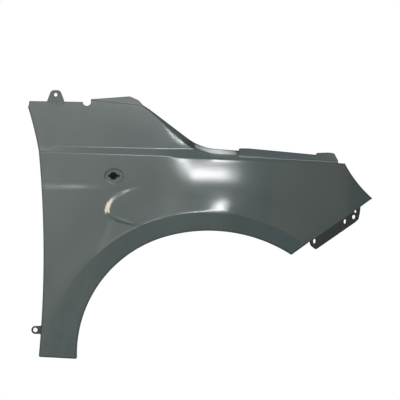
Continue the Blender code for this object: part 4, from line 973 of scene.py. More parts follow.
class PressedSheet:
    """A sheet's painted side: points, normals and faces, with its lips folded from the edge."""

    def __init__(self, depth, thickness):
        self.depth = depth
        self.thickness = thickness
        self.points = []
        self.normals = []
        self.backing = []
        self.rim_distance = []
        self.faces = []

    def normals_at(self, x, z, span):
        """Normals of the height field, from depths a span apart; they face the painted side."""
        slope_x = (self.depth(x + span, z) - self.depth(x - span, z)) / (2.0 * span)
        slope_z = (self.depth(x, z + span) - self.depth(x, z - span)) / (2.0 * span)
        normal = np.column_stack((slope_x, -np.ones(len(x)), slope_z))
        return normal / np.linalg.norm(normal, axis=1)[:, None]

    def add(self, point, normal, backing, rim_distance):
        """One point of the painted side; returns its number."""
        self.points.append(np.array(point))
        self.normals.append(np.array(normal))
        self.backing.append(np.array(backing))
        self.rim_distance.append(rim_distance)
        return len(self.points) - 1

    def press(self, loop, lips, holes, rows, spacing, fold_radius,
              fold_way=1.0, lip_cuts=(), patches=()):
        """Fill the loop with the height field and fold the lips."""
        side = outward(loop)
        outer, inner = loop + side * EDGE_SPAN, loop - side * EDGE_SPAN
        slope = (self.depth(*outer.T) - self.depth(*inner.T)) / (2.0 * EDGE_SPAN)
        start = np.where(lips > 0.0, np.arctan(slope) * fold_way, 0.0)
        inset = np.where(lips > 0.0, fold_radius * (1.0 - np.sin(start)), 0.0)
        flat_loop = loop - side * inset[:, None]
        edge_gap = spacing * EDGE_GAP_SHARE
        fine_edge = divided([*flat_loop, flat_loop[0]], edge_gap)
        clear = edge_gap * ROW_CLEARANCE_SHARE
        kept_rows = []
        for row in rows:
            fits = inside(row, flat_loop) & (distances(row, fine_edge) > clear)
            for hole in holes:
                fits &= (distances(row, hole) > clear) & ~inside(row, hole)
            kept_rows.append((row, fits))
        grid = staggered_grid(flat_loop.min(axis=0), flat_loop.max(axis=0), spacing)
        for patch_low, patch_high, patch_spacing in patches:
            outside = (grid < patch_low).any(axis=1) | (grid > patch_high).any(axis=1)
            grid = np.vstack((grid[outside], staggered_grid(patch_low, patch_high, patch_spacing)))
        grid = grid[inside(grid, flat_loop)]
        taken = np.vstack([flat_loop, *holes, *[row[fits] for row, fits in kept_rows]])
        finest = min([spacing, *[patch_spacing for _low, _high, patch_spacing in patches]])
        grid = grid[distances(grid, taken) > finest * GRID_CLEARANCE_SHARE]
        flat, faces, place = triangulated([flat_loop, *holes], kept_rows, grid)
        depth = self.depth(flat[:, 0], flat[:, 1])
        normals = self.normals_at(flat[:, 0], flat[:, 1], FACE_SPAN)
        backing = self.normals_at(flat[:, 0], flat[:, 1], BACK_SPAN)
        rim = distances(flat, np.vstack((fine_edge, *holes)))
        for (x, z), y, normal, back, away in zip(flat, depth, normals, backing, rim):
            self.add((x, y, z), normal, back, away)
        self.faces.extend(faces)
        self.fold(lips, side, start, place, fold_radius, fold_way, lip_cuts)

    def fold(self, lips, side, start, place, radius, way, lip_cuts):
        """Roll the sheet over along its lips, and run each lip inboard."""
        count = len(lips)
        columns = {}
        for index in np.flatnonzero(lips > 0.0):
            root = place[index]
            out = np.array((side[index][0], 0.0, side[index][1]))
            low = way * radius * math.cos(start[index])
            base = self.points[root] + np.array((0.0, low, 0.0))
            base -= out * radius * math.sin(start[index])
            column = [root]
            for step in range(1, FOLD_STEPS + 1):
                angle = start[index] + (math.pi / 2.0 - start[index]) * step / FOLD_STEPS
                normal = way * out * math.sin(angle) - np.array((0.0, 1.0, 0.0)) * math.cos(angle)
                point = base + out * radius * math.sin(angle)
                point -= np.array((0.0, 1.0, 0.0)) * way * radius * math.cos(angle)
                column.append(self.add(point, normal, normal, 0.0))
            columns[int(index)] = column
        starts = [i for i in columns if (i - 1) % count not in columns]
        for first in starts:
            run = [first]
            while (run[-1] + 1) % count in columns:
                run.append((run[-1] + 1) % count)
            for here, there in zip(run, run[1:]):
                for step in range(FOLD_STEPS):
                    self.faces.append((columns[here][step], columns[there][step],
                                       columns[there][step + 1], columns[here][step + 1]))
            self.lip(run, columns, lips, way, lip_cuts)

    def lip(self, run, columns, lips, way, lip_cuts):
        """The flat part of one lip, laid out as length by depth, with the holes cut in it."""
        tops = [columns[i][-1] for i in run]
        top_points = np.array([self.points[t] for t in tops])
        top_normals = np.array([self.normals[t] for t in tops])
        flat_tops = top_points[:, (0, 2)]
        runs = np.linalg.norm(np.diff(flat_tops, axis=0), axis=1)
        length = np.concatenate(([0.0], np.cumsum(runs)))
        roots = np.array([self.points[columns[i][0]][1] for i in run])
        ends = roots + way * lips[run]
        deep = np.abs(ends - top_points[:, 1])
        ring = np.vstack((np.column_stack((length, np.zeros(len(run)))),
                          np.column_stack((length, deep))[::-1]))
        holes = []
        for place, half_length, lip_depth in lip_cuts:
            gaps = np.linalg.norm(flat_tops - place, axis=1)
            nearest = int(gaps.argmin())
            same_lip = abs(lips[run[nearest]] - lip_depth) < SHORTEST_EDGE
            if same_lip and gaps[nearest] < half_length * 2.0:
                middle = deep[nearest] / 2.0
                holes.append(ellipse(length[nearest], middle, half_length, LIP_HOLE_RADIUS,
                                     LIP_HOLE_POINTS))
        rows = [np.column_stack((length, deep * share)) for share in LIP_ROW_SHARES]
        kept = []
        for row in rows:
            fits = np.ones(len(row), dtype=bool)
            fits[[0, -1]] = False
            for hole in holes:
                fits &= (distances(row, hole) > SHORTEST_EDGE) & ~inside(row, hole)
            kept.append((row, fits))
        flat, faces, origin = triangulated([ring, *[hole[::-1] for hole in holes]], kept)
        numbers = {origin[i]: top for i, top in enumerate(tops)}
        for index, (s, t) in enumerate(flat):
            if index not in numbers:
                x = np.interp(s, length, top_points[:, 0])
                y = np.interp(s, length, top_points[:, 1]) + way * t
                z = np.interp(s, length, top_points[:, 2])
                normal = np.array([np.interp(s, length, top_normals[:, axis]) for axis in range(3)])
                normal /= np.linalg.norm(normal)
                numbers[index] = self.add((x, y, z), normal, normal, 0.0)
        for face in faces:
            corners = [numbers[i] for i in face]
            a, b, c = (self.points[i] for i in corners[:3])
            if np.cross(b - a, c - a) @ self.normals[corners[0]] < 0.0:
                corners.reverse()
            self.faces.append(tuple(corners))

    def closed(self):
        """Both sides and the cut edges: points, faces, one normal for each face corner."""
        points, normals = np.array(self.points), np.array(self.normals)
        backing = np.array(self.backing)
        faces = []
        for face in self.faces:
            a, b, c = points[face[0]], points[face[1]], points[face[2]]
            facing = np.cross(b - a, c - a) @ normals[list(face)].sum(axis=0)
            faces.append(tuple(face) if facing > 0.0 else tuple(reversed(face)))
        count = len(points)
        edges = {}
        for face in faces:
            for a, b in zip(face, face[1:] + face[:1]):
                edges[(a, b)] = edges.get((a, b), 0) + 1
        rim = [(a, b) for a, b in edges if (b, a) not in edges]
        back_faces = [tuple(i + count for i in reversed(face)) for face in faces]
        walls = [(b, a, a + count, b + count) for a, b in rim]
        both = np.vstack((points, points - backing * self.thickness))
        corner_normals = []
        for face in faces:
            corner_normals.extend(normals[i] for i in face)
        for face in back_faces:
            corner_normals.extend(-backing[i - count] for i in face)
        for b, a, c, d in walls:
            flat = np.cross(both[a] - both[b], both[d] - both[b])
            corner_normals.extend([flat / (np.linalg.norm(flat) + 1e-12)] * 4)
        rim_distance = np.array(self.rim_distance * 2)
        return both, faces + back_faces + walls, np.array(corner_normals), rim_distance


def sheet_piece(name, sheet, origin, finish, node, slot, painted_shade):
    """An object from a pressed sheet, moved to the part's origin, that stands for a frame node."""
    points, faces, normals, rim_distance = sheet.closed()
    mesh = bpy.data.meshes.new(name)
    mesh.from_pydata((points - origin).tolist(), [], faces)
    mesh.validate()
    mesh.shade_smooth()
    mesh.normals_split_custom_set(normals.tolist())
    # Each point also carries how much painted shade darkens and dulls its primer
    for key, values in (("rim_distance", rim_distance), ("painted_shade", painted_shade(points))):
        mesh.attributes.new(key, "FLOAT", "POINT").data.foreach_set("value", values)
    mesh.materials.append(finish)
    ready(bpy.data.objects.new(name, mesh), slot, node)


def panel_painted_shade(points):
    """How much painted shade darkens and dulls the primer at each point, from 0 to 1."""
    start, _run, side, _length = bumper_run()
    out = (points[:, 0] - start[0]) * side[0] + (points[:, 2] - start[1]) * side[1]
    # Painted shade on the bumper flange, which slopes down and away from the lamps
    bumper = smooth_step(out / FOLD_BLEND + 0.5) * (points[:, 0] > NOSE_X)
    # Painted shade along the gutter, spared round the place where it shines
    above = points[:, 2] - skin_edge_z(points[:, 0])
    away = np.abs(points[:, 0] - GUTTER_SHINE_X) / GUTTER_SHINE_REACH
    gutter = smooth_step(above / FOLD_BLEND) * smooth_step(away) * (points[:, 0] < GUTTER_END_X)
    gutter = gutter * smooth_step((points[:, 0] - GUTTER_START_X) / GUTTER_START_FADE)
    return np.clip(bumper + gutter * GUTTER_SHADE_SHARE, 0.0, 1.0)


def ready(piece, slot, *nodes):
    """Link a finished piece, hang it on the body it rides on, and hide the frame nodes it stands
    for. The slot is not used.
    """
    if piece.name not in bpy.context.scene.objects:
        bpy.context.scene.collection.objects.link(piece)
    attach(piece, BODY)
    if nodes:
        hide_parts(*nodes)


class Value:
    """A socket in a node tree; Python's operators on it add Math nodes."""

    def __init__(self, nodes, socket):
        self.nodes = nodes
        self.socket = socket

    def math(self, operation, first, second, clamp=False):
        settings = {"operation": operation, "use_clamp": clamp}
        return self.nodes.add("ShaderNodeMath", settings, {0: first, 1: second})

    def __add__(self, other):
        return self.math("ADD", self, other)

    def __radd__(self, other):
        return self.math("ADD", other, self)

    def __sub__(self, other):
        return self.math("SUBTRACT", self, other)

    def __rsub__(self, other):
        return self.math("SUBTRACT", other, self)

    def __mul__(self, other):
        return self.math("MULTIPLY", self, other)

    def clamped(self):
        return self.math("ADD", self, 0.0, clamp=True)

    def above(self, low, high):
        """0 below low, 1 above high, and a straight ramp between."""
        return self.math("DIVIDE", self - low, high - low, clamp=True)


class Nodes:
    """A node tree, built node by node."""

    def __init__(self, tree):
        self.tree = tree

    def add(self, kind, settings=None, inputs=None, output=0):
        """A node of a kind with its settings and inputs; returns one of its outputs, if any."""
        node = self.tree.nodes.new(kind)
        for key, value in (settings or {}).items():
            setattr(node, key, value)
        for key, value in (inputs or {}).items():
            self.feed(node.inputs[key], value)
        return Value(self, node.outputs[output]) if node.outputs else None

    def feed(self, socket, value):
        """Link or set one socket."""
        if isinstance(value, Value):
            self.tree.links.new(value.socket, socket)
        else:
            socket.default_value = value


class Finish(Nodes):
    """One material, built node by node."""

    def __init__(self, name):
        self.material = bpy.data.materials.new(name)
        self.material.use_nodes = True
        super().__init__(self.material.node_tree)
        self.shader = self.tree.nodes["Principled BSDF"]

    def place(self, scale=(1.0, 1.0, 1.0)):
        """Object coordinates, stretched."""
        spot = self.add("ShaderNodeTexCoord", output="Object")
        settings = {"vector_type": "POINT"}
        return self.add("ShaderNodeMapping", settings, {"Vector": spot, "Scale": scale})

    def noise(self, scale, detail=2.0, roughness=0.5, distortion=0.0, where=None):
        """A noise value from 0 to 1."""
        return self.add("ShaderNodeTexNoise", {"noise_dimensions": "3D"}, {
            "Vector": where or self.place(), "Scale": scale, "Detail": detail,
            "Roughness": roughness, "Distortion": distortion})

    def blend(self, share, first, second):
        """A mix of two colours."""
        inputs = {"Factor": share, "A": first, "B": second}
        return self.add("ShaderNodeMix", {"data_type": "RGBA"}, inputs, output=MIXED_COLOUR)

    def scaled(self, colour, factor):
        """A colour made lighter or darker by a value."""
        inputs = {0: colour, "Scale": factor}
        return self.add("ShaderNodeVectorMath", {"operation": "SCALE"}, inputs)

    def bump(self, height, distance):
        """A normal from a height in metres."""
        inputs = {"Height": height, "Distance": distance, "Strength": 1.0}
        return self.add("ShaderNodeBump", None, inputs)

    def finish(self, fixed, varied):
        """Set the shader's constant sockets and link those that vary."""
        for key, value in {**fixed, **varied}.items():
            self.feed(self.shader.inputs[key], value)
        return self.material


def primer(name, colour, look):
    """Satin primer: cloudy tone, fine mottle, dust nibs, hairline scratches and orange peel."""
    paint = Finish(name)
    cloud = paint.noise(2.4, detail=2.0, distortion=0.4)
    mottle = paint.noise(85.0, detail=3.0, roughness=0.6)
    grain = paint.noise(900.0, detail=2.0)
    nib = paint.noise(420.0, detail=1.0).above(0.735, 0.765)
    up_and_down = paint.noise(1.0, detail=1.0, where=paint.place((34.0, 34.0, 900.0)))
    across = paint.noise(1.0, detail=1.0, where=paint.place((700.0, 60.0, 22.0)))
    hair = (up_and_down.above(0.745, 0.775) + across.above(0.755, 0.785)).clamped()
    rim = paint.add("ShaderNodeAttribute", {"attribute_name": "rim_distance"}, output="Fac")
    edge = 1.0 - rim.above(0.0, RIM_WIDTH)
    # The attribute read here holds painted shade, which draws the primer darker and duller
    shade_mask = paint.add("ShaderNodeAttribute", {"attribute_name": "painted_shade"}, output="Fac")
    tone = 0.93 + cloud * 0.09 + mottle * 0.05 + grain * 0.03
    tone = tone * (1.0 - edge * RIM_DARKENING) * (1.0 - shade_mask * SHADE_DARKENING)
    tone = tone + nib * 0.12 + hair * 0.05
    cooler = (colour[0] * 0.96, colour[1] * 0.99, colour[2] * 1.05, 1.0)
    tint = paint.blend(cloud.above(0.35, 0.7), (*colour, 1.0), cooler)
    smudge = paint.noise(9.0, detail=4.0, roughness=0.65, distortion=0.8).above(0.42, 0.72)
    roughness = look.roughness - 0.05 + smudge * 0.08 + grain * 0.05 + hair * 0.10
    coat = look.gloss - smudge * 0.12 - nib * 0.3 - hair * 0.15
    coat = coat - edge * RIM_DULLING - shade_mask * SHADE_DULLING
    peel = paint.noise(330.0, detail=1.0) + grain * 0.25 + nib * 0.8 - hair * 0.3
    return paint.finish(
        {"Metallic": 0.0, "IOR": 1.5, "Coat Roughness": look.gloss_roughness, "Coat IOR": 1.5},
        {"Base Color": paint.scaled(tint, tone), "Roughness": roughness,
         "Coat Weight": coat.clamped(), "Normal": paint.bump(peel, FINE_BUMP)})


def rubber(name, colour):
    """Black moulded rubber with a fine sparked texture and dust in its low places."""
    skin = Finish(name)
    spark = skin.noise(1400.0, detail=3.0, roughness=0.7)
    dust = skin.noise(60.0, detail=4.0, roughness=0.7).above(0.45, 0.8)
    shade = skin.blend(dust * 0.25, (*colour, 1.0), (0.035, 0.040, 0.040, 1.0))
    return skin.finish(
        {"Metallic": 0.0, "IOR": 1.2},
        {"Base Color": shade, "Roughness": 0.55 + spark * 0.2 + dust * 0.1,
         "Normal": skin.bump(spark, FINE_BUMP)})


def finishes(look):
    """The three finishes, made once."""
    makers = {
        "panel": ("grey green primer", primer, (tuple(look.primer), look)),
        "bracket": ("bracket primer", primer, (tuple(look.bracket), look)),
        "plug": ("plug rubber", rubber, (tuple(look.rubber),)),
    }
    return {key: bpy.data.materials.get(name) or make(name, *settings)
            for key, (name, make, settings) in makers.items()}


class FENDER_OT_panel(bpy.types.Operator):
    """Press the outer panel with its lips, flanges and holes"""
    bl_idname = "fender.panel"
    bl_label = "Outer Panel"

    def execute(self, context):
        sizes, form = context.scene.fender_sheet, context.scene.fender_form
        surface = FenderSurface(form)
        loop, lips = panel_outline(sizes.edge_spacing)
        holes = [ellipse(*hole, BUMPER_HOLE_POINTS)[::-1] for hole in BUMPER_HOLES]
        holes.append(lamp_hole()[::-1])
        sheet = PressedSheet(surface.depth, sizes.thickness)
        sheet.press(loop, lips, holes, feature_rows(form, sizes.edge_spacing), sizes.spacing,
                    sizes.fold_radius, lip_cuts=list(lip_holes()), patches=FINE_PATCHES)
        finish = finishes(context.scene.fender_finish)["panel"]
        sheet_piece("fender_skin", sheet, surface.origin(sizes), finish,
                    "fender_panel", "panel_primer", panel_painted_shade)
        return {"FINISHED"}


class FENDER_OT_upper_bracket(bpy.types.Operator):
    """Form the tab that stands above the rear upper edge"""
    bl_idname = "fender.upper_bracket"
    bl_label = "Upper Bracket"

    def execute(self, context):
        sizes = context.scene.fender_sheet
        surface = FenderSurface(context.scene.fender_form)
        plane = surface.bracket_plane(sizes)

        def depth(x, z):
            tilt = (z - SIDE_FLAT_Z) / SIDE_RADIUS
            leaf = surface.depth(x, z) + sizes.thickness * np.sqrt(1.0 + tilt ** 2) + WELD_GAP
            above = smooth_step((z - TOP_REAR[1] + UPPER_BEND_DROP) / UPPER_BEND_HEIGHT)
            return leaf * (1.0 - above) + plane * above

        low_z = TOP_REAR[1] - UPPER_LEAF_DEPTH
        half, head = UPPER_BASE_HALF_WIDTH, UPPER_HEAD_RADIUS
        start = (UPPER_HOLE_X - half, low_z + 2.0 * UPPER_LEAF_CORNER, 0.0)
        outline = filleted((
            start,
            (UPPER_HOLE_X - half, TOP_REAR[1], UPPER_SHOULDER_RADIUS),
            (UPPER_HOLE_X - head, UPPER_HOLE_Z + head, head * UPPER_HEAD_ROUNDING),
            (UPPER_HOLE_X + head, UPPER_HOLE_Z + head, head * UPPER_HEAD_ROUNDING),
            (UPPER_HOLE_X + half, TOP_REAR[1], UPPER_SHOULDER_RADIUS),
            (UPPER_HOLE_X + half, low_z, UPPER_LEAF_CORNER),
            (UPPER_HOLE_X - half, low_z, UPPER_LEAF_CORNER),
            start,
        ), BRACKET_EDGE_SPACING)[:-1]
        hole = circle(UPPER_HOLE_X, UPPER_HOLE_Z, UPPER_HOLE_RADIUS, BOLT_HOLE_POINTS)
        across = np.linspace(UPPER_HOLE_X - half, UPPER_HOLE_X + half, UPPER_ROW_POINTS)
        rows = [np.column_stack((across, np.full(UPPER_ROW_POINTS, TOP_REAR[1] + rise)))
                for rise in UPPER_BEND_ROWS]
        sheet = PressedSheet(depth, sizes.bracket_thickness)
        sheet.press(outline, np.zeros(len(outline)), [hole[::-1]], rows, UPPER_SPACING, 0.0)
        finish = finishes(context.scene.fender_finish)["bracket"]
        sheet_piece("upper_bracket", sheet, surface.origin(sizes), finish,
                    "rear_upper_bracket", "bracket_primer", lambda points: np.zeros(len(points)))
        return {"FINISHED"}


def door_edge_x(z):
    """The door edge below the waist."""
    line = sagged(FOOT_REAR, DOOR_KINK, DOOR_SAG, DOOR_EDGE_SPACING)
    return float(np.interp(z, line[:, 1], line[:, 0]))


class FENDER_OT_lower_bracket(bpy.types.Operator):
    """Form the ear behind the door edge"""
    bl_idname = "fender.lower_bracket"
    bl_label = "Lower Bracket"

    def execute(self, context):
        sizes = context.scene.fender_sheet
        surface = FenderSurface(context.scene.fender_form)
        low_z, high_z = LOWER_HOLE_Z - LOWER_HALF_HEIGHT, LOWER_HOLE_Z + LOWER_HALF_HEIGHT
        inset = sizes.thickness + WELD_GAP
        fold_low = (door_edge_x(low_z) + inset, low_z)
        fold_high = (door_edge_x(high_z) + inset, high_z)
        reach = LOWER_HEAD_RADIUS
        head_x = LOWER_HOLE_X - reach
        outline = filleted((
            (*fold_low, 0.0),
            (fold_low[0] - LOWER_SHOULDER, LOWER_HOLE_Z - reach, LOWER_SHOULDER_RADIUS),
            (head_x, LOWER_HOLE_Z - reach, reach * LOWER_HEAD_ROUNDING),
            (head_x, LOWER_HOLE_Z + reach, reach * LOWER_HEAD_ROUNDING),
            (fold_high[0] - LOWER_SHOULDER, LOWER_HOLE_Z + reach, LOWER_SHOULDER_RADIUS),
            (*fold_high, 0.0),
        ), BRACKET_EDGE_SPACING)
        fold = divided([np.array(fold_high), np.array(fold_low)], LOWER_FOLD_SPACING)[1:-1]
        loop = np.vstack((outline, fold))
        lips = np.zeros(len(loop))
        lips[len(outline):] = LOWER_LEAF + 2.0 * BRACKET_BEND_RADIUS
        hole = circle(LOWER_HOLE_X, LOWER_HOLE_Z, LOWER_HOLE_RADIUS, BOLT_HOLE_POINTS)
        radii = np.linspace(LOWER_COLLAR_RADIUS - LOWER_COLLAR_WIDTH, LOWER_COLLAR_RADIUS,
                            LOWER_COLLAR_ROWS)
        collars = [circle(LOWER_HOLE_X, LOWER_HOLE_Z, radius, COLLAR_POINTS) for radius in radii]
        edges = [surface.depth(door_edge_x(z) + sizes.fold_radius, z) for z in (low_z, high_z)]
        plate_y = float(max(edges)) + DOOR_LIP + WELD_GAP + BRACKET_BEND_RADIUS

        def depth(x, z):
            from_hole = np.hypot(x - LOWER_HOLE_X, z - LOWER_HOLE_Z)
            raised = smooth_step((LOWER_COLLAR_RADIUS - from_hole) / LOWER_COLLAR_WIDTH)
            return plate_y - LOWER_COLLAR_RISE * raised

        sheet = PressedSheet(depth, sizes.bracket_thickness)
        sheet.press(loop, lips, [hole[::-1]], collars, LOWER_SPACING, BRACKET_BEND_RADIUS,
                    fold_way=-1.0)
        finish = finishes(context.scene.fender_finish)["panel"]
        # The lower bracket carries painted shade all over
        sheet_piece("lower_bracket", sheet, surface.origin(sizes), finish, "rear_lower_bracket",
                    "panel_primer", lambda points: np.full(len(points), LOWER_SHADE_SHARE))
        return {"FINISHED"}


def wall(first, second, count):
    """Faces between two rings with the same number of points."""
    faces = []
    for i in range(count):
        j = (i + 1) % count
        faces.append((first + i, first + j, second + j, second + i))
    return faces


def filled(rings, firsts):
    """Triangles inside the first ring and outside the second, numbered from where each starts."""
    numbers = [first + i for ring, first in zip(rings, firsts) for i in range(len(ring))]
    loops, total = [], 0
    for ring in rings:
        loops.append(list(range(total, total + len(ring))))
        total += len(ring)
    points = [Vector(point) for ring in rings for point in ring]
    _flat, _edges, faces, origins, _, _ = delaunay_2d_cdt(points, [], loops, 2, MERGE_DISTANCE)
    return [tuple(numbers[origins[corner][0]] for corner in face) for face in faces]


class FENDER_OT_plug(bpy.types.Operator):
    """Fit the plug that closes the side lamp hole"""
    bl_idname = "fender.plug"
    bl_label = "Lamp Hole Plug"

    def execute(self, context):
        sizes = context.scene.fender_sheet
        surface = FenderSurface(context.scene.fender_form)
        finish = finishes(context.scene.fender_finish)["plug"]
        behind = sizes.thickness + WELD_GAP
        boss = lamp_hole(PLUG_CLEARANCE, PLUG_BOSS_STEPS)
        rim = ellipse(PLUG_X, PLUG_Z, PLUG_HALF_LENGTH, PLUG_HALF_HEIGHT, OVAL_POINTS)
        dish, bead, hub = (circle(LAMP_HOLE_X, LAMP_HOLE_Z, radius, PLUG_RING_POINTS)
                           for radius in (PLUG_DISH_RADIUS, PLUG_BEAD_RADIUS, PLUG_HUB_RADIUS))
        layers = (
            (hub, PLUG_RECESS), (bead, PLUG_RECESS + PLUG_DISH_DEPTH), (dish, PLUG_RECESS),
            (boss, PLUG_RECESS), (boss, behind), (rim, behind), (rim, behind + PLUG_THICKNESS),
        )
        points, starts = [], []
        for ring, depth in layers:
            starts.append(len(points))
            base = surface.depth(ring[:, 0], ring[:, 1])
            points.extend(zip(ring[:, 0], base + depth, ring[:, 1]))
        faces = []
        for first in (0, 1, 3, 5):
            faces.extend(wall(starts[first], starts[first + 1], len(layers[first][0])))
        for rings, firsts in (((hub,), (starts[0],)), ((boss, dish), (starts[3], starts[2])),
                              ((rim, boss), (starts[5], starts[4])), ((rim,), (starts[6],))):
            faces.extend(filled(rings, firsts))
        mesh = bpy.data.meshes.new("lamp_hole_plug")
        origin = surface.origin(sizes)
        mesh.from_pydata((np.array(points) - origin).tolist(), [], faces)
        work = bmesh.new()
        work.from_mesh(mesh)
        bmesh.ops.recalc_face_normals(work, faces=work.faces)
        work.to_mesh(mesh)
        work.free()
        mesh.shade_smooth()
        mesh.set_sharp_from_angle(angle=PLUG_SHARP_ANGLE)
        mesh.materials.append(finish)
        ready(bpy.data.objects.new("lamp_hole_plug", mesh), "plug_rubber", "side_lamp_plug")
        return {"FINISHED"}


def weld_group():
    """Geometry nodes: a flattened bead on every point, with its radius and height as inputs."""
    group = bpy.data.node_groups.new("weld marks", "GeometryNodeTree")
    face = group.interface
    face.new_socket("Geometry", in_out="INPUT", socket_type="NodeSocketGeometry")
    for name, default in (("Weld Radius", WELD_RADIUS), ("Weld Height", WELD_HEIGHT)):
        size = face.new_socket(name, in_out="INPUT", socket_type="NodeSocketFloat")
        size.default_value = default
        size.subtype = "DISTANCE"
    face.new_socket("Weld Material", in_out="INPUT", socket_type="NodeSocketMaterial")
    face.new_socket("Geometry", in_out="OUTPUT", socket_type="NodeSocketGeometry")
    nodes = Nodes(group)
    spots = nodes.add("NodeGroupInput")
    radius, height, finish = (Value(nodes, spots.socket.node.outputs[name])
                              for name in ("Weld Radius", "Weld Height", "Weld Material"))
    sphere = {"Segments": WELD_SEGMENTS, "Rings": WELD_RINGS, "Radius": 1.0}
    bead = nodes.add("GeometryNodeMeshUVSphere", None, sphere)
    flat = nodes.add("ShaderNodeCombineXYZ", None, {"X": radius, "Y": height, "Z": radius})
    bead = nodes.add("GeometryNodeTransform", None, {"Geometry": bead, "Scale": flat})
    beads = nodes.add("GeometryNodeInstanceOnPoints", None, {"Points": spots, "Instance": bead})
    beads = nodes.add("GeometryNodeRealizeInstances", None, {"Geometry": beads})
    beads = nodes.add("GeometryNodeSetShadeSmooth", None, {"Geometry": beads})
    beads = nodes.add("GeometryNodeSetMaterial", None, {"Geometry": beads, "Material": finish})
    nodes.add("NodeGroupOutput", None, {"Geometry": beads})
    return group


class FENDER_OT_spot_welds(bpy.types.Operator):
    """Press the spot welds that hold the brackets"""
    bl_idname = "fender.spot_welds"
    bl_label = "Spot Welds"

    def execute(self, context):
        sizes = context.scene.fender_sheet
        surface = FenderSurface(context.scene.fender_form)
        finish = finishes(context.scene.fender_finish)["panel"]
        group = weld_group()
        places = [(x, float(surface.depth(x, WELD_Z)), WELD_Z) for x in WELD_X]
        mesh = bpy.data.meshes.new("spot_welds")
        mesh.from_pydata([np.array(place) - surface.origin(sizes) for place in places], [], [])
        marks = bpy.data.objects.new("spot_welds", mesh)
        context.scene.collection.objects.link(marks)
        modifier = marks.modifiers.new("weld marks", "NODES")
        modifier.node_group = group
        values = {"Weld Radius": WELD_RADIUS, "Weld Height": WELD_HEIGHT, "Weld Material": finish}
        for item in group.interface.items_tree:
            if item.name in values:
                modifier[item.identifier] = values[item.name]
        evaluated = marks.evaluated_get(context.evaluated_depsgraph_get())
        plain = bpy.data.meshes.new_from_object(evaluated)
        marks.modifiers.clear()
        marks.data = plain
        ready(marks, "panel_primer")
        return {"FINISHED"}


def lamp(name, target, distance, azimuth, elevation, width, height, radiance):
    """A soft box at a distance from its target; azimuth 0 is the camera's side."""
    strength = max(radiance)
    light = bpy.data.lights.new(name, "AREA")
    light.shape = "RECTANGLE"
    light.size = width
    light.size_y = height
    light.energy = strength * math.pi * width * height
    light.color = [part / strength for part in radiance]
    item = bpy.data.objects.new(name, light)
    bpy.context.scene.collection.objects.link(item)
    a, e = math.radians(azimuth), math.radians(elevation)
    away = Vector((math.cos(e) * math.sin(a), -math.cos(e) * math.cos(a), math.sin(e))) * distance
    item.location = target + away
    item.rotation_euler = (target - item.location).to_track_quat("-Z", "Y").to_euler()


def stage_plane(name, corners, finish):
    """A flat stage surface."""
    mesh = bpy.data.meshes.new(name)
    mesh.from_pydata(corners, [], [(0, 1, 2, 3)])
    mesh.materials.append(finish)
    item = bpy.data.objects.new(name, mesh)
    bpy.context.scene.collection.objects.link(item)


def pale(name, colour, white_share):
    """A pale matte stage finish, white to the camera and in gloss, and clear from behind."""
    finish = Finish(name)
    finish.finish({"Roughness": 0.9, "Base Color": (*colour, 1.0)}, {})
    seen, gloss, through = (finish.add("ShaderNodeLightPath", output=f"Is {kind} Ray")
                            for kind in ("Camera", "Glossy", "Transmission"))
    share = (seen + gloss + through).clamped() * white_share
    glow = finish.add("ShaderNodeEmission", None, {"Color": WHITE, "Strength": 1.0})
    matte = Value(finish, finish.shader.outputs[0])
    mixed = finish.add("ShaderNodeMixShader", None, {0: share, 1: matte, 2: glow})
    behind = finish.add("ShaderNodeNewGeometry", output="Backfacing")
    clear = finish.add("ShaderNodeBsdfTransparent")
    sided = finish.add("ShaderNodeMixShader", None, {0: behind, 1: mixed, 2: clear})
    output = finish.tree.nodes["Material Output"]
    finish.tree.links.new(sided.socket, output.inputs["Surface"])
    return finish.material


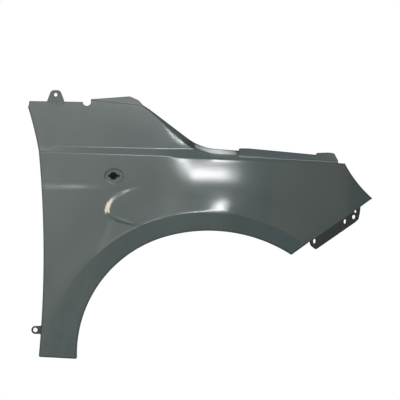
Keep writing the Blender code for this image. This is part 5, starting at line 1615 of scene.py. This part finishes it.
class FENDER_OT_stage(bpy.types.Operator):
    """Set up the floor, the backdrop, the lamps and the camera"""
    bl_idname = "fender.stage"
    bl_label = "Stage"

    def execute(self, context):
        scene = context.scene
        stage = scene.fender_stage
        origin = FenderSurface(scene.fender_form).origin(scene.fender_sheet)
        eye = Vector(CAMERA_PANEL) - Vector(origin)
        middle = Vector((eye.x, 0.0, eye.z))
        self.surfaces(stage)
        per_degree = math.tan(math.radians(1.0)) * 2.0 * stage.lamp_distance
        for name, azimuth, elevation, half_width, half_height, radiance in LAMPS:
            lamp(name, middle, stage.lamp_distance, azimuth, elevation,
                 per_degree * half_width, per_degree * half_height, radiance)
        self.world(scene, stage)
        self.camera(scene, eye)
        scene.view_settings.view_transform = "Standard"
        return {"FINISHED"}

    def surfaces(self, stage):
        """The floor, and the backdrop that rises from its far edge."""
        low = CAD_BOX[0].z - stage.floor_drop
        near, far = -stage.floor_reach, stage.wall_distance
        top, side = stage.wall_top, STAGE_HALF_WIDTH
        floor = [(-side, far, low), (-side, near, low), (side, near, low), (side, far, low)]
        wall = [(-side, far, low), (side, far, low), (side, far, top), (-side, far, top)]
        stage_plane("floor", floor, pale("pale floor", stage.floor, FLOOR_WHITE_SHARE))
        stage_plane("backdrop", wall, pale("white backdrop", stage.floor, 1.0))

    def world(self, scene, stage):
        """A world that is white to the camera and lights the panel by the ambient setting."""
        scene.world = bpy.data.worlds.new("studio")
        scene.world.use_nodes = True
        nodes = Nodes(scene.world.node_tree)
        seen = nodes.add("ShaderNodeLightPath", output="Is Camera Ray")
        background = nodes.tree.nodes["Background"]
        nodes.feed(background.inputs["Color"], WHITE)
        nodes.feed(background.inputs["Strength"], seen.math("MAXIMUM", seen, stage.ambient))

    def camera(self, scene, eye):
        """A camera square on to the panel."""
        data = bpy.data.cameras.new("camera")
        data.sensor_width = SENSOR * 1000.0
        data.lens = SENSOR * 1000.0 * -CAMERA_PANEL[1] / VIEW_WIDTH
        data.clip_end = VIEW_END
        camera = bpy.data.objects.new("camera", data)
        scene.collection.objects.link(camera)
        camera.location = eye
        camera.rotation_euler = (math.pi / 2.0, 0.0, 0.0)
        scene.camera = camera


class FENDER_PT_sidebar(bpy.types.Panel):
    """Lists the pieces and their settings"""
    bl_idname = "FENDER_PT_sidebar"
    bl_label = "Front Fender"
    bl_space_type = "VIEW_3D"
    bl_region_type = "UI"
    bl_category = "Fender"

    def draw(self, context):
        scene = context.scene
        groups = (("Sheet", scene.fender_sheet), ("Form", scene.fender_form),
                  ("Finish", scene.fender_finish), ("Stage", scene.fender_stage))
        for title, group in groups:
            box = self.layout.box()
            box.label(text=title)
            for key in group.__annotations__:
                box.prop(group, key)
        for maker in MAKERS:
            self.layout.operator(maker.bl_idname)


SETTINGS = {
    "fender_sheet": FenderSheet,
    "fender_form": FenderForm,
    "fender_finish": FenderFinish,
    "fender_stage": FenderStage,
}
MAKERS = (
    FENDER_OT_stage,
    FENDER_OT_panel,
    FENDER_OT_upper_bracket,
    FENDER_OT_lower_bracket,
    FENDER_OT_plug,
    FENDER_OT_spot_welds,
)


def register():
    for item in (*SETTINGS.values(), *MAKERS, FENDER_PT_sidebar):
        bpy.utils.register_class(item)
    for name, group in SETTINGS.items():
        setattr(bpy.types.Scene, name, bpy.props.PointerProperty(type=group))


def unregister():
    for name in SETTINGS:
        delattr(bpy.types.Scene, name)
    for item in (FENDER_PT_sidebar, *reversed(MAKERS), *reversed(SETTINGS.values())):
        bpy.utils.unregister_class(item)


def main():
    register()
    bpy.ops.fender.stage()
    bpy.ops.fender.panel()
    bpy.ops.fender.upper_bracket()
    bpy.ops.fender.lower_bracket()
    bpy.ops.fender.plug()
    bpy.ops.fender.spot_welds()


if __name__ == "__main__":
    main()
